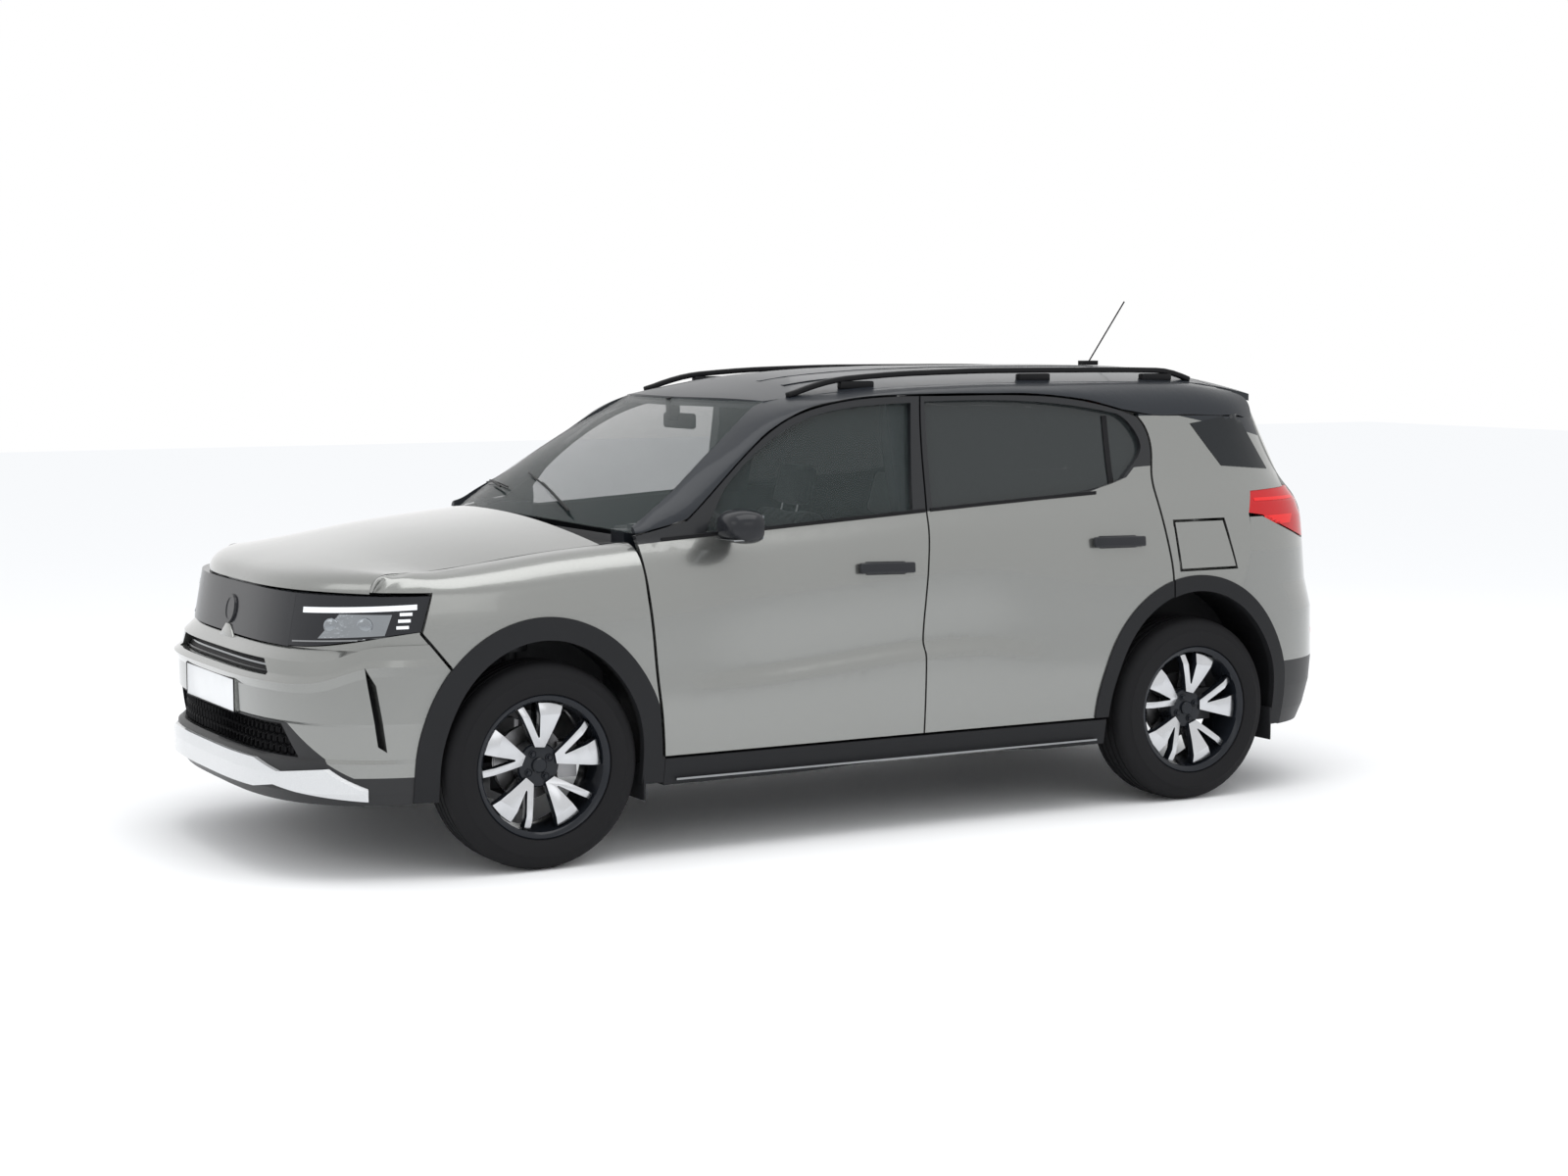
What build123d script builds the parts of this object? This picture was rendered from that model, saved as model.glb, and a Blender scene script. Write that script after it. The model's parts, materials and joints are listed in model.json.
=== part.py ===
from build123d import *
import os
from math import cos, hypot, pi, radians, sin

import numpy as np

os.makedirs("parts", exist_ok=True)

# Frame: +X forward, +Y to the car's left, +Z up, origin on the ground below the
# middle of the bounding box.  Everything is in millimetres.

# ---- Driving dimensions: the whole car -------------------------------------
LENGTH = 4385.0
HALF_WIDTH = 885.0            # at the crease low on the doors
ROOF_TOP = 1630.0             # middle of the roof skin
WHEELBASE = 2670.0
FRONT_OVERHANG = 870.0
BELT_LIFT = 0.0               # raises the belt line and what follows it

TYRE_RADIUS = 345.0
TYRE_WIDTH = 215.0
RIM_RADIUS = 229.0            # bead seat
WHEEL_INSET = 2.5             # tyre sidewall inside the body's half width

# ---- Gaps and walls --------------------------------------------------------
SHUT_GAP = 7.0                # between a moving panel and its neighbour
WING_GAP = 11.0               # ahead of the front door, whose edge swings in past the wing
SEAT = 0.4                    # between pieces that sit on one another
PIN_CLEARANCE = 0.06
DOOR_THICKNESS = 120.0        # skin to trim, below the belt
FRAME_THICKNESS = 45.0        # window frame and upper pillars
SKIN = 25.0                   # folded edge of a panel
ROOF_THICKNESS = 32.0
BUMPER_WALL = 40.0
GLASS = 5.0

# ---- Doors along the car ---------------------------------------------------
DASH_TO_AXLE = 417.0          # front axle back to the front door's front edge at the crease
FRONT_DOOR_LENGTH = 1055.0
DOOR_BOTTOM = 345.0
DOOR_CREASE = 600.0
BELT = 1090.0 + BELT_LIFT
HINGE_OVERHANG = 75.0         # door skin in front of its hinge axis
HINGE_DEPTH = 30.0            # hinge axis inside the half width
DOOR_HINGE_HEIGHTS = (455.0, 870.0)

# ---- Ends ------------------------------------------------------------------
PLAN_FRONT = 1290.0           # the plan outline starts to narrow here
PLAN_REAR = -1370.0

# Worked out from the above
FRONT = LENGTH / 2
REAR = -LENGTH / 2
FRONT_AXLE = FRONT - FRONT_OVERHANG
REAR_AXLE = FRONT_AXLE - WHEELBASE
WHEEL_Y = HALF_WIDTH - WHEEL_INSET - TYRE_WIDTH / 2
DOOR_FRONT = FRONT_AXLE - DASH_TO_AXLE
DOOR_SPLIT = DOOR_FRONT - FRONT_DOOR_LENGTH
DOOR_INNER = HALF_WIDTH - DOOR_THICKNESS
PILLAR_OUTER = DOOR_INNER - 48.0
FRONT_HINGE_X = DOOR_FRONT - HINGE_OVERHANG
REAR_HINGE_X = DOOR_SPLIT - SHUT_GAP - HINGE_OVERHANG
HINGE_Y = HALF_WIDTH - HINGE_DEPTH


# ---- Curves and surfaces ---------------------------------------------------
def curve(points, at):
    """Smooth value through (station, value) pairs, without overshoot."""
    xs = [p[0] for p in points]
    ys = [p[1] for p in points]
    if at <= xs[0]:
        return ys[0]
    if at >= xs[-1]:
        return ys[-1]
    slopes = [(ys[i + 1] - ys[i]) / (xs[i + 1] - xs[i]) for i in range(len(xs) - 1)]
    tangents = [slopes[0]]
    for before, after in zip(slopes, slopes[1:]):
        tangents.append(0.0 if before * after <= 0 else 2 * before * after / (before + after))
    tangents.append(slopes[-1])
    i = max(k for k in range(len(slopes)) if at >= xs[k])
    span = xs[i + 1] - xs[i]
    t = (at - xs[i]) / span
    return (
        (2 * t**3 - 3 * t**2 + 1) * ys[i]
        + (t**3 - 2 * t**2 + t) * span * tangents[i]
        + (-2 * t**3 + 3 * t**2) * ys[i + 1]
        + (t**3 - t**2) * span * tangents[i + 1]
    )


BLUR = [(-2, 0.06), (-1, 0.24), (0, 0.40), (1, 0.24), (2, 0.06)]


def smooth(points, at, spread):
    """The same curve with its corners rounded over a spread."""
    return sum(weight * curve(points, at + step * spread) for step, weight in BLUR)


NOSE = [(250, -50), (292, -17), (345, -18), (388, -24), (402, -45), (508, -42), (517, -32),
        (610, -30), (640, -14), (662, -46), (708, -55), (748, -104), (925, -126), (975, -140),
        (1100, -220)]
NOSE_SIDE = [(250, -32), (345, -22), (450, -28), (560, -30), (660, -42), (760, -84), (925, -128),
             (1100, -215)]
TAIL = [(235, -70), (300, -34), (400, -6), (480, 0), (690, 0), (760, -26), (830, -46),
        (1050, -58), (1120, -84), (1200, -150), (1320, -206), (1450, -270), (1560, -330),
        (1640, -400)]
SECTION = [(180, 50), (340, 20), (440, 8), (560, 1), (700, 8), (850, 11), (940, 20), (1000, 35),
           (1050, 57), (1090, 80), (1600, 207)]
SCALLOP = [(560, 0), (598, 0), (640, 21), (700, 16), (790, 6), (880, 0)]
SCALLOP_REACH = [(-640, 0), (-500, 0.5), (-380, 1), (420, 1), (600, 0.6), (760, 0)]
BELT_RISE = [(-1600, 118), (-1170, 110), (-901, 84), (-682, 66), (-426, 49), (-189, 36),
             (421, -4), (940, -17)]
CREASE_RISE = [(-1300, -60), (-600, -6), (-374, 27), (-146, 27), (157, 4), (430, -19), (900, -44)]
TUMBLEHOME = 0.25             # lean of the windows


def nose_x(z):
    return FRONT + smooth(NOSE_SIDE, z, 16)


def nose_crease(y, z):
    """How far the bumper's creases stand off the rounded nose, fading towards its sides."""
    fade = 1 - min(abs(y) / HALF_WIDTH, 1.0) ** 6
    return (curve(NOSE, z) - smooth(NOSE_SIDE, z, 16)) * fade


def tail_x(z):
    return REAR - smooth(TAIL, z, 16)


def belt_z(x):
    return BELT + smooth(BELT_RISE, x, 60)


def crease_z(x):
    return DOOR_CREASE + smooth(CREASE_RISE, x, 60)


def section_step(x, z):
    """Height measured along the door section, whose crease and belt rise and fall with x."""
    belt, crease = belt_z(x), crease_z(x)
    if z > belt:
        return 1090 + z - belt
    if z < crease:
        return z * 600 / crease
    return 600 + (z - crease) * 490 / (belt - crease)


def section_inset(x, z):
    """How far the side is inside the half width, before the plan outline narrows it."""
    step = section_step(x, z)
    return smooth(SECTION, step, 12) + smooth(SCALLOP, step, 10) * smooth(SCALLOP_REACH, x, 40)


def haunch(x, z):
    """Outward swell of the side over each wheel."""
    swell = 0.0
    for axle, reach, size in ((FRONT_AXLE, 500, 12), (REAR_AXLE, 560, 16)):
        along = ((x - axle) / reach) ** 4
        up = ((z - 690) / 260) ** 4
        swell += size * np.exp(-along - up)
    return swell


def half_width(x, z):
    """The car's outer side at station x and height z."""
    width = HALF_WIDTH - section_inset(x, z) + haunch(x, z)
    if x > PLAN_FRONT:
        u = (x - PLAN_FRONT) / (nose_x(z) - PLAN_FRONT)
        width *= max(1 - min(u, 1.0) ** 3.5, 0.0) ** (1 / 3.4)
    elif x < PLAN_REAR:
        u = (x - PLAN_REAR) / (tail_x(z) - PLAN_REAR)
        width *= max(1 - min(u, 1.0) ** 3.5, 0.0) ** (1 / 3.4)
    return float(width)


def end_x(y, z, front=True):
    """The plan outline at the nose or the tail: X for a distance y off the middle."""
    start = PLAN_FRONT if front else PLAN_REAR
    reach = (nose_x(z) if front else tail_x(z)) - start
    across = min(abs(y) / (HALF_WIDTH - section_inset(start, z)), 1.0)
    return start + reach * (1 - across**3.4) ** (1 / 3.5) + (nose_crease(y, z) if front else 0)


BONNET_LINE = [(900, 1158), (1040, 1146), (1235, 1128), (1500, 1098), (1756, 1052), (1900, 1022),
               (2000, 992), (2045, 968), (2060, 945), (2066, 925)]
BONNET_HALF = 735.0
BONNET_WALL = 28.0


BONNET_SWEEP = 200.0          # the front corners lie this far behind the middle
BONNET_CROWN = [(900, 95), (1235, 88), (1500, 84), (1756, 59), (1900, 32), (2000, 7), (2066, 0)]


def bonnet_point(station, y):
    """Point of the bonnet: stations run along its middle line, from the rear to the lip."""
    first, last = 1235.0, BONNET_LINE[-1][0]
    share = min(max((station - first) / (last - first), 0), 1) ** 1.5
    off = (abs(y) / BONNET_HALF) ** 2.2
    x = station - BONNET_SWEEP * share * (abs(y) / BONNET_HALF) ** 3
    return x, y, curve(BONNET_LINE, station) - curve(BONNET_CROWN, station) * off


def bonnet_edge_z(x):
    """Height of the bonnet's side edge above station x."""
    points = [bonnet_point(station, BONNET_HALF) for station, _ in BONNET_LINE]
    return curve([(p[0], p[2]) for p in points], x)


ROOF_LINE = [(-1900, 76), (-1700, 34), (-1472, 5), (-1100, 0), (-700, 0), (-300, 8), (0, 27),
             (150, 47), (300, 77), (420, 115)]
ROOF_HALF = 610.0


def roof_z(x, y):
    crown = curve([(-1800, 60), (-1000, 58), (0, 54), (350, 40)], x)
    return ROOF_TOP - curve(ROOF_LINE, x) - crown * (abs(y) / ROOF_HALF) ** 2.4


def even(points, count):
    """The same line of points, evenly spaced along its length."""
    points = np.array(points, float)
    length = np.concatenate([[0], np.cumsum(np.linalg.norm(np.diff(points, axis=0), axis=1))])
    at = np.linspace(0, length[-1], count)
    return np.stack([np.interp(at, length, points[:, k]) for k in range(points.shape[1])], axis=1)


def surface(grid):
    return Face.make_surface_from_array_of_points([[Vector(*p) for p in row] for row in grid])


def shell(grid, thickness):
    """Solid between a smooth surface through the grid and its copy along the normals."""
    outer = np.array(grid, float)
    normal = np.cross(np.gradient(outer, axis=0), np.gradient(outer, axis=1))
    normal /= np.linalg.norm(normal, axis=2, keepdims=True)
    top = surface(outer)
    bottom = surface(outer - thickness * normal)
    walls = []
    for edge in top.edges():
        twin = min(bottom.edges(), key=lambda e: (e.center() - edge.center()).length)
        walls.append(Face.make_surface_from_curves(edge, twin))
    return Solid(Shell([top, bottom] + walls))


def outline(*runs):
    """Closed face from runs of points end to end: two points a line, more a smooth curve."""
    edges = [Line(*run) if len(run) == 2 else Spline(*run) for run in runs]
    return make_face(Wire([e.edge() for e in edges]))


def side_prism(*runs, low=0.0, high=1200.0):
    """Outline given as (x, z) runs, swept across the car between two distances."""
    face = outline(*[[(x, low, z) for x, z in run] for run in runs])
    return extrude(face, high - low, dir=(0, 1, 0))


def plan_prism(*runs, low=0.0, high=2500.0):
    """Outline given as (x, y) runs, swept upwards between two heights."""
    face = outline(*[[(x, y, low) for x, y in run] for run in runs])
    return extrude(face, high - low, dir=(0, 0, 1))


def front_prism(*runs, low, high):
    """Outline given as (y, z) runs, swept along the car between two stations."""
    face = outline(*[[(low, y, z) for y, z in run] for run in runs])
    return extrude(face, high - low, dir=(1, 0, 0))


def box(x, y, z):
    """Box from three pairs of limits."""
    x, y, z = sorted(x), sorted(y), sorted(z)
    centre = [(low + high) / 2 for low, high in (x, y, z)]
    return Pos(*centre) * Box(x[1] - x[0], y[1] - y[0], z[1] - z[0])


def rod(start, end, radius):
    """Cylinder between two points."""
    line = Vector(*end) - Vector(*start)
    return Plane(origin=start, z_dir=line) * Cylinder(
        radius, line.length, align=(Align.CENTER, Align.CENTER, Align.MIN))


def arch_prism(axle, reach, rise, low=0.0, high=1200.0):
    """Elliptical wheel arch opening about an axle, open at the bottom."""
    arch = Pos(axle, low, TYRE_RADIUS) * Rot(-90, 0, 0) * extrude(Ellipse(reach, rise), high - low)
    return arch + box((axle - reach, axle + reach), (low, high), (-100, TYRE_RADIUS))


ROW_PITCH = 20.0              # between the points that a side surface passes through


def section_height(x, step):
    """Height of a step of the door section, which rises and falls with crease and belt."""
    belt, crease = belt_z(x), crease_z(x)
    if step > 1090:
        return belt + step - 1090
    if step < 600:
        return step * crease / 600
    return crease + (step - 600) * (belt - crease) / 490


def side_slab(x_low, x_high, first, last, thickness, columns=14):
    """Slab of the car's side between two stations and two steps of its section."""
    steps = np.linspace(first, last, round((last - first) / ROW_PITCH) + 1)
    grid = []
    for x in np.linspace(x_low, x_high, columns):
        heights = [section_height(x, step) for step in steps]
        grid.append([(x, half_width(x, z), z) for z in heights])
    return extrude(surface(grid), thickness, dir=(0, -1, 0))


def both(part):
    """A piece and its mirror image across the car."""
    return Compound(children=solids(part) + solids(mirror(part, about=Plane.XZ)))


def solids(part):
    return [s for p in (part if isinstance(part, (list, tuple)) else [part]) for s in p.solids()]


def save(name, part):
    pieces = solids(part)
    export_step(pieces[0] if len(pieces) == 1 else Compound(children=pieces), f"parts/{name}.step")


def save_pair(name, part):
    save(f"{name}_left", part)
    save(f"{name}_right", mirror(part, about=Plane.XZ))


# ---- Shut lines ------------------------------------------------------------
def door_front_line(gap=0.0):
    """Front edge of the front door from the sill to the belt."""
    x = DOOR_FRONT + gap
    return [(x - 28, DOOR_BOTTOM), (x - 17, 451), (x, 585), (x + 14, 750), (x + 28, 882),
            (x + 38, 997), (x + 47, BELT - 8)]


def split_line(gap=0.0, low=DOOR_BOTTOM, high=ROOF_TOP - 97):
    """The line between the two doors, leaning back above the belt."""
    x = DOOR_SPLIT + gap
    return [(x, low), (x, 800), (x - 20, 1001), (x - 41, 1121), (x - 56, 1303), (x - 76, high)]


def cantrail_line(gap=0.0):
    """Top edge of the doors from the foot of the windscreen to behind the rear door."""
    front = [(DOOR_FRONT + 47, BELT - 8), (752, BELT + 34), (503, ROOF_TOP - 299),
             (332, ROOF_TOP - 183), (128, ROOF_TOP - 122), (-228, ROOF_TOP - 99),
             (-653, ROOF_TOP - 101), (-909, ROOF_TOP - 122), (-1074, ROOF_TOP - 157)]
    return [(x, z + gap) for x, z in front]


REAR_DOOR_EDGE = [(-1165, 1443), (-1200, 1385), (-1206, 1310), (-1192, 1240), (-1190, 1150),
                  (-1205, 1040), (-1222, 930), (-1230, 833)]
REAR_DOOR_BACK = REAR_AXLE + 117.0      # rear door's back edge low down
BONNET_REAR = 1150.0
BONNET_REAR_SWEEP = 96.0
SCREEN_BASE = (1090.0, 940.0, 772.0)    # X in the middle, X and Y at the corner
SCREEN_TOP = (410.0, 320.0, 545.0)
TAILGATE_BOTTOM = 700.0
TAILGATE_GAP = 14.0
TAILGATE_HINGE_Y = 230.0
TAILGATE_SIDE = [(TAILGATE_BOTTOM, 640), (900, 668), (1150, 680), (1230, 690), (1500, 628),
                 (1600, 590)]
ROOF_REAR = -1640.0
ROOF_EDGE = ROOF_HALF


def screen_point(up, across):
    """Point of the windscreen: up runs 0 to 1 from its base, across -1 to 1."""
    base_mid = np.array([SCREEN_BASE[0], 0, BELT + 34])
    base_side = np.array([SCREEN_BASE[1], SCREEN_BASE[2], BELT - 1])
    top_mid = np.array([SCREEN_TOP[0], 0, roof_z(SCREEN_TOP[0], 0)])
    top_side = np.array([SCREEN_TOP[1], SCREEN_TOP[2], roof_z(SCREEN_TOP[1], SCREEN_TOP[2])])
    bulge = np.array([26, 0, 34]) * 4 * up * (1 - up) * 0.5
    middle = base_mid + (top_mid - base_mid) * up + bulge
    side = base_side + (top_side - base_side) * up + bulge * 0.8
    point = middle + (side - middle) * abs(across) ** 2.2
    point[1] = side[1] * across
    return point


def screen_grid(shrink=0.0, columns=13, rows=9):
    """Grid over the windscreen, optionally a little smaller than its opening."""
    ups = np.linspace(shrink, 1 - shrink, rows)
    sides = np.linspace(-1 + shrink, 1 - shrink, columns)
    return [[screen_point(u, s) for s in sides] for u in ups]


def edge_relief(line, near, far):
    """Rebate behind a shut line, so that the next door's edge can swing in past it."""
    xs = [p[0] for p in line(near)]
    band = side_prism(line(near), [line(near)[-1], line(far)[-1]], list(reversed(line(far))),
                      [line(far)[0], line(near)[0]])
    return band & (Pos(0, -5, 0) * side_slab(min(xs) - 60, max(xs) + 60, 300, 1560, 260, 6))


# ---- Body ------------------------------------------------------------------
RAIL_LOWER = cantrail_line(SHUT_GAP + 2) + [(-1250, ROOF_TOP - 180), (-1450, ROOF_TOP - 182),
                                        (-1640, ROOF_TOP - 190), (-1800, ROOF_TOP - 205)]


def rail_lower(share):
    """Point of the roof side's lower edge: share runs 0 to 1 from the windscreen's foot back."""
    knots = [0.0]
    for (x0, z0), (x1, z1) in zip(RAIL_LOWER, RAIL_LOWER[1:]):
        knots.append(knots[-1] + hypot(x1 - x0, z1 - z0))
    at = share * knots[-1]
    return [curve([(k, p[axis]) for k, p in zip(knots, RAIL_LOWER)], at) for axis in (0, 1)]


def rail_upper(share):
    """Point of its upper edge, on the windscreen's side and then on the roof's."""
    points = [screen_point(up, 1) for up in (0.0, 0.24, 0.66, 1.0)]
    points[0] = np.array([RAIL_LOWER[0][0], points[0][1], points[0][2] + 24])
    for x, inset in ((170, 22), (-228, 0), (-653, 0), (-909, 0), (-1074, 0), (-1250, 0),
                     (-1450, 4), (-1640, 10), (-1800, 25)):
        points.append(np.array([x, ROOF_EDGE - inset, roof_z(x, ROOF_EDGE - inset)]))
    knots = [0.0]
    for (x0, z0), (x1, z1) in zip(RAIL_LOWER, RAIL_LOWER[1:]):
        knots.append(knots[-1] + hypot(x1 - x0, z1 - z0))
    at = share * knots[-1]
    return np.array([curve([(k, p[axis]) for k, p in zip(knots, points)], at) for axis in range(3)])


def cantrail():
    """A-pillar and roof side: rounds over from the door tops to the screen and roof."""
    rings = []
    for share in np.linspace(0, 1, 27):
        x, z = rail_lower(share)
        top = rail_upper(share)
        base = np.array([x, half_width(x, z), z])
        rise, run = top[2] - z, base[1] - top[1]
        corner = np.array([(x + top[0]) / 2, base[1] - TUMBLEHOME * rise * 0.8,
                           top[2] - 0.16 * run])
        bow = [base * (1 - t) ** 2 + corner * 2 * t * (1 - t) + top * t * t
               for t in np.linspace(0, 1, 9)]
        roof_lip = top - np.array([0, 0, min(0.8 * rise, ROOF_THICKNESS)])
        door_lip = base - np.array([0, min(0.7 * run, 70), 0])
        rings.append(Wire([Spline(*[tuple(p) for p in bow]).edge(),
                           Line(tuple(top), tuple(roof_lip)).edge(),
                           Line(tuple(roof_lip), tuple(door_lip)).edge(),
                           Line(tuple(door_lip), tuple(base)).edge()]))
    return Solid.make_loft(rings)


def tailgate_prism(gap=0.0, low=REAR - 50, high=ROOF_REAR):
    """The tailgate's outline seen from behind, swept forwards."""
    right = [(y + gap + (5 if gap and z > 1200 else 0), z) for z, y in TAILGATE_SIDE]
    right[0] = (right[0][0], TAILGATE_BOTTOM - gap)
    left = [(-y, z) for y, z in reversed(right)]
    return front_prism(right, [right[-1], left[0]], left, [left[-1], right[0]],
                       low=low, high=high)


def body_side():
    """Sill, pillars, roof side and rear quarter of the left side."""
    sill = box((DOOR_FRONT - 20, REAR_AXLE + 404 + SEAT), (690, 800), (245, DOOR_BOTTOM - 10))
    post = box((DOOR_FRONT - 205, DOOR_FRONT + 40), (600, PILLAR_OUTER),
               (275 + SEAT, BELT - 140 - SEAT))
    post -= box((DOOR_FRONT - 25, DOOR_FRONT + 60), (500, 800), (0, TYRE_RADIUS + 440))
    head = PILLAR_OUTER - 17
    post += box((DOOR_FRONT - 205, DOOR_FRONT - 20 - SEAT), (600, head), (BELT - 150, BELT + 20))
    post += box((DOOR_FRONT + 5 + SEAT, DOOR_FRONT + 40), (600, head), (BELT - 150, BELT + 4))
    post += box((DOOR_FRONT - 205, DOOR_FRONT + 40), (600, head), (BELT - 72 + SEAT, BELT + 4))
    foot = box((DOOR_FRONT - 120, DOOR_FRONT - 25), (660, 743), (BELT + 12, BELT + 30))
    centre = box((DOOR_SPLIT - 100, DOOR_SPLIT + 65), (690, DOOR_INNER - 10), (250, BELT + 28))
    upper = side_slab(DOOR_SPLIT - 140, DOOR_SPLIT + 30, 1080, 1500, 60, 4)
    upper = Pos(0, -FRAME_THICKNESS - 13, 0) * upper
    quarter_inner = box((REAR_AXLE + 80, REAR_DOOR_BACK + 50), (690, DOOR_INNER - 10), (812, 1200))
    quarter_inner += box((REAR_AXLE + 80, REAR_DOOR_BACK + 15), (DOOR_INNER - 20, DOOR_INNER + 65),
                         (BELT - 5, BELT + 20))
    frame = sill + post + foot + centre
    frame += upper & box((-500, 500), (ROOF_EDGE + 2, 900), (0, PILLAR_TOP))
    rail = roof_side()
    return [frame + quarter_inner + (quarter_panel() - Pos(0, 0, -SEAT) * rail), rail]


PILLAR_TOP = ROOF_TOP - 100
RAIL_SEAM = 4.0


def roof_side():
    """The cantrail trimmed to the roof panel, the doors and the tailgate."""
    rail = cantrail() - roof_outline() - tailgate_prism(SHUT_GAP)
    rail -= tailgate_prism(2 * SHUT_GAP, high=ROOF_REAR - 60)
    return rail - front_door_outline(SHUT_GAP + 1) - rear_door_outline(SHUT_GAP + 1)


def left_flank(parts):
    """The left side with its fuel filler."""
    room = box((FLAP_FRONT - 80, FLAP_FRONT + 10.5), (700, HALF_WIDTH - 25),
               (FLAP_BOTTOM - 10, FLAP_TOP + 10))
    return [parts[0] - flap_outline(10.5) - room + filler_bowl()] + parts[1:]


def rear_seam(gap=0.0):
    """Joint between the rear quarter and the bumper."""
    return [(x - gap, z) for x, z in ((-1560, 480), (-1562, 807), (-1603, 918), (-1618, 1071))]


def quarter_panel():
    panel = side_slab(-1870, -1140, 440, 1352, 30, 20)
    edge = [(x - SHUT_GAP - 2.5, z) for x, z in REAR_DOOR_EDGE]
    under_rail = [rail_lower(share) for share in np.linspace(1, 0.783, 7)]
    under_rail = [(x, z - RAIL_SEAM) for x, z in under_rail]
    shape = side_prism(
        edge,
        [edge[-1], (REAR_DOOR_BACK - SHUT_GAP, 480)],
        [(REAR_DOOR_BACK - SHUT_GAP, 480), (-1560, 480)],
        rear_seam(),
        [(-1618, 1071), (-1648, 1157)],
        [(-1648, 1157), (-1900, 1166)],
        [(-1900, 1166), under_rail[0]],
        under_rail,
        [under_rail[-1], edge[0]],
    )
    return (panel & shape) - arch_prism(REAR_AXLE, 455, 509) - tailgate_prism(SHUT_GAP)


def filler_bowl():
    """Recess behind the fuel flap, open outwards."""
    x, z = (FLAP_FRONT - 290, FLAP_FRONT + 20), (FLAP_BOTTOM - 18, FLAP_TOP + 18)
    bowl = box(x, (FLAP_BOWL_Y - 8, HALF_WIDTH - 45), z)
    return bowl - box((x[0] + 8, x[1] - 8), (FLAP_BOWL_Y, 1000), (z[0] + 8, z[1] - 8))


def roof_outline(gap=0.0):
    """Roof panel seen from above, from the windscreen to the tailgate."""
    edge = ROOF_EDGE - gap
    front = [(SCREEN_TOP[0] - gap - 90 * (abs(y) / 545) ** 2.2, y)
             for y in (545, 300, 0, -300, -545)]
    return plan_prism(front, [front[-1], (170, 22 - edge)], [(170, 22 - edge), (-228, -edge)],
                      [(-228, -edge), (ROOF_REAR, 10 - edge)],
                      [(ROOF_REAR, 10 - edge), (ROOF_REAR, edge - 10)],
                      [(ROOF_REAR, edge - 10), (-228, edge)], [(-228, edge), (170, edge - 22)],
                      [(170, edge - 22), front[0]], low=1400)


def roof_panel():
    xs = np.linspace(ROOF_REAR, SCREEN_TOP[0] + 20, 16)
    ys = np.linspace(-ROOF_EDGE, ROOF_EDGE, 13)
    slab = extrude(surface([[(x, y, roof_z(x, y)) for y in ys] for x in xs]),
                   ROOF_THICKNESS, dir=(0, 0, -1))
    bow = box((ROOF_REAR + 2, ROOF_REAR + 60), (-440, 440), (1490, ROOF_TOP - 56))
    return (slab & roof_outline(SEAT)) + bow


def front_fender():
    """Left front wing: side, shoulder and top edge beside the bonnet."""
    zs = np.linspace(340, 900, 57)
    grid = []
    for x in np.linspace(DOOR_FRONT - 40, 1872, 18):
        row = [np.array([x, half_width(x, z), z]) for z in zs]
        base = row[-1]
        top = np.array([x, BONNET_HALF + SHUT_GAP, bonnet_edge_z(x)])
        corner = np.array([x, base[1] - 0.08 * (base[1] - top[1]), top[2] - 10])
        row += [base * (1 - t) ** 2 + corner * 2 * t * (1 - t) + top * t * t
                for t in np.linspace(0.05, 1, 20)]
        grid.append(even(row, 27))
    back = door_front_line(WING_GAP)
    top = (DOOR_FRONT + 58, 1250)
    behind = side_prism(back, [back[-1], top], [top, (700, 1250)],
                        [(700, 1250), (700, DOOR_BOTTOM)], [(700, DOOR_BOTTOM), back[0]])
    ahead = side_prism([(1900, 935), (1692, 932)], [(1692, 932), (1730, 805)],
                       [(1730, 805), (1640, 690)], [(1640, 690), (1640, 250)],
                       [(1640, 250), (1900, 250)], [(1900, 250), (1900, 935)])
    wing = extrude(surface(grid), 30, dir=(0, -1, -1)) - behind - ahead
    wing -= arch_prism(FRONT_AXLE, 440 + SEAT, 494 + SEAT)
    wing -= box((DOOR_FRONT - 60, DOOR_FRONT + 200), (0, 1200), (250, DOOR_BOTTOM))
    return wing - box((0, 2500), (0, BONNET_HALF + SHUT_GAP), (0, 1300))


def bonnet():
    ys = np.linspace(-BONNET_HALF, BONNET_HALF, 15)
    stations = np.linspace(BONNET_LINE[0][0], BONNET_LINE[-1][0], 600)
    middle = even([(s, smooth(BONNET_LINE, s, 8)) for s in stations], 40)
    grid = [[bonnet_point(station, y) for y in ys] for station in middle[:, 0]]
    rear = [(BONNET_REAR - BONNET_REAR_SWEEP * (y / 732) ** 2, y) for y in (740, 370, 0, -370, -740)]
    shape = plan_prism(rear, [rear[-1], (2200, -740)], [(2200, -740), (2200, 740)],
                       [(2200, 740), rear[0]], low=700)
    panel = (shell(grid, BONNET_WALL) & shape) - box((1600, 2300), (-900, 900), (700, 927))
    for y in (BONNET_HINGE_Y, -BONNET_HINGE_Y):
        x, z = BONNET_AXIS
        panel += bonnet_lug(y)
        panel -= rod((x, y - 20, z), (x, y + 20, z), 6 + PIN_CLEARANCE)
    return panel


def plan_line(z, front=True, count=13):
    """Evenly spaced points of the plan outline from one side round the end to the other."""
    half = HALF_WIDTH - section_inset(PLAN_FRONT if front else PLAN_REAR, z)
    ys = half * np.sin(np.linspace(0, pi / 2, 400))
    xs = np.array([end_x(y, z, front) for y in ys])
    length = np.concatenate([[0], np.cumsum(np.hypot(np.diff(xs), np.diff(ys)))])
    even = np.linspace(0, length[-1] * 0.995, count)
    xs, ys = np.interp(even, length, xs), np.interp(even, length, ys)
    return [(x, -y) for x, y in zip(xs[:0:-1], ys[:0:-1])] + list(zip(xs, ys))


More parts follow.
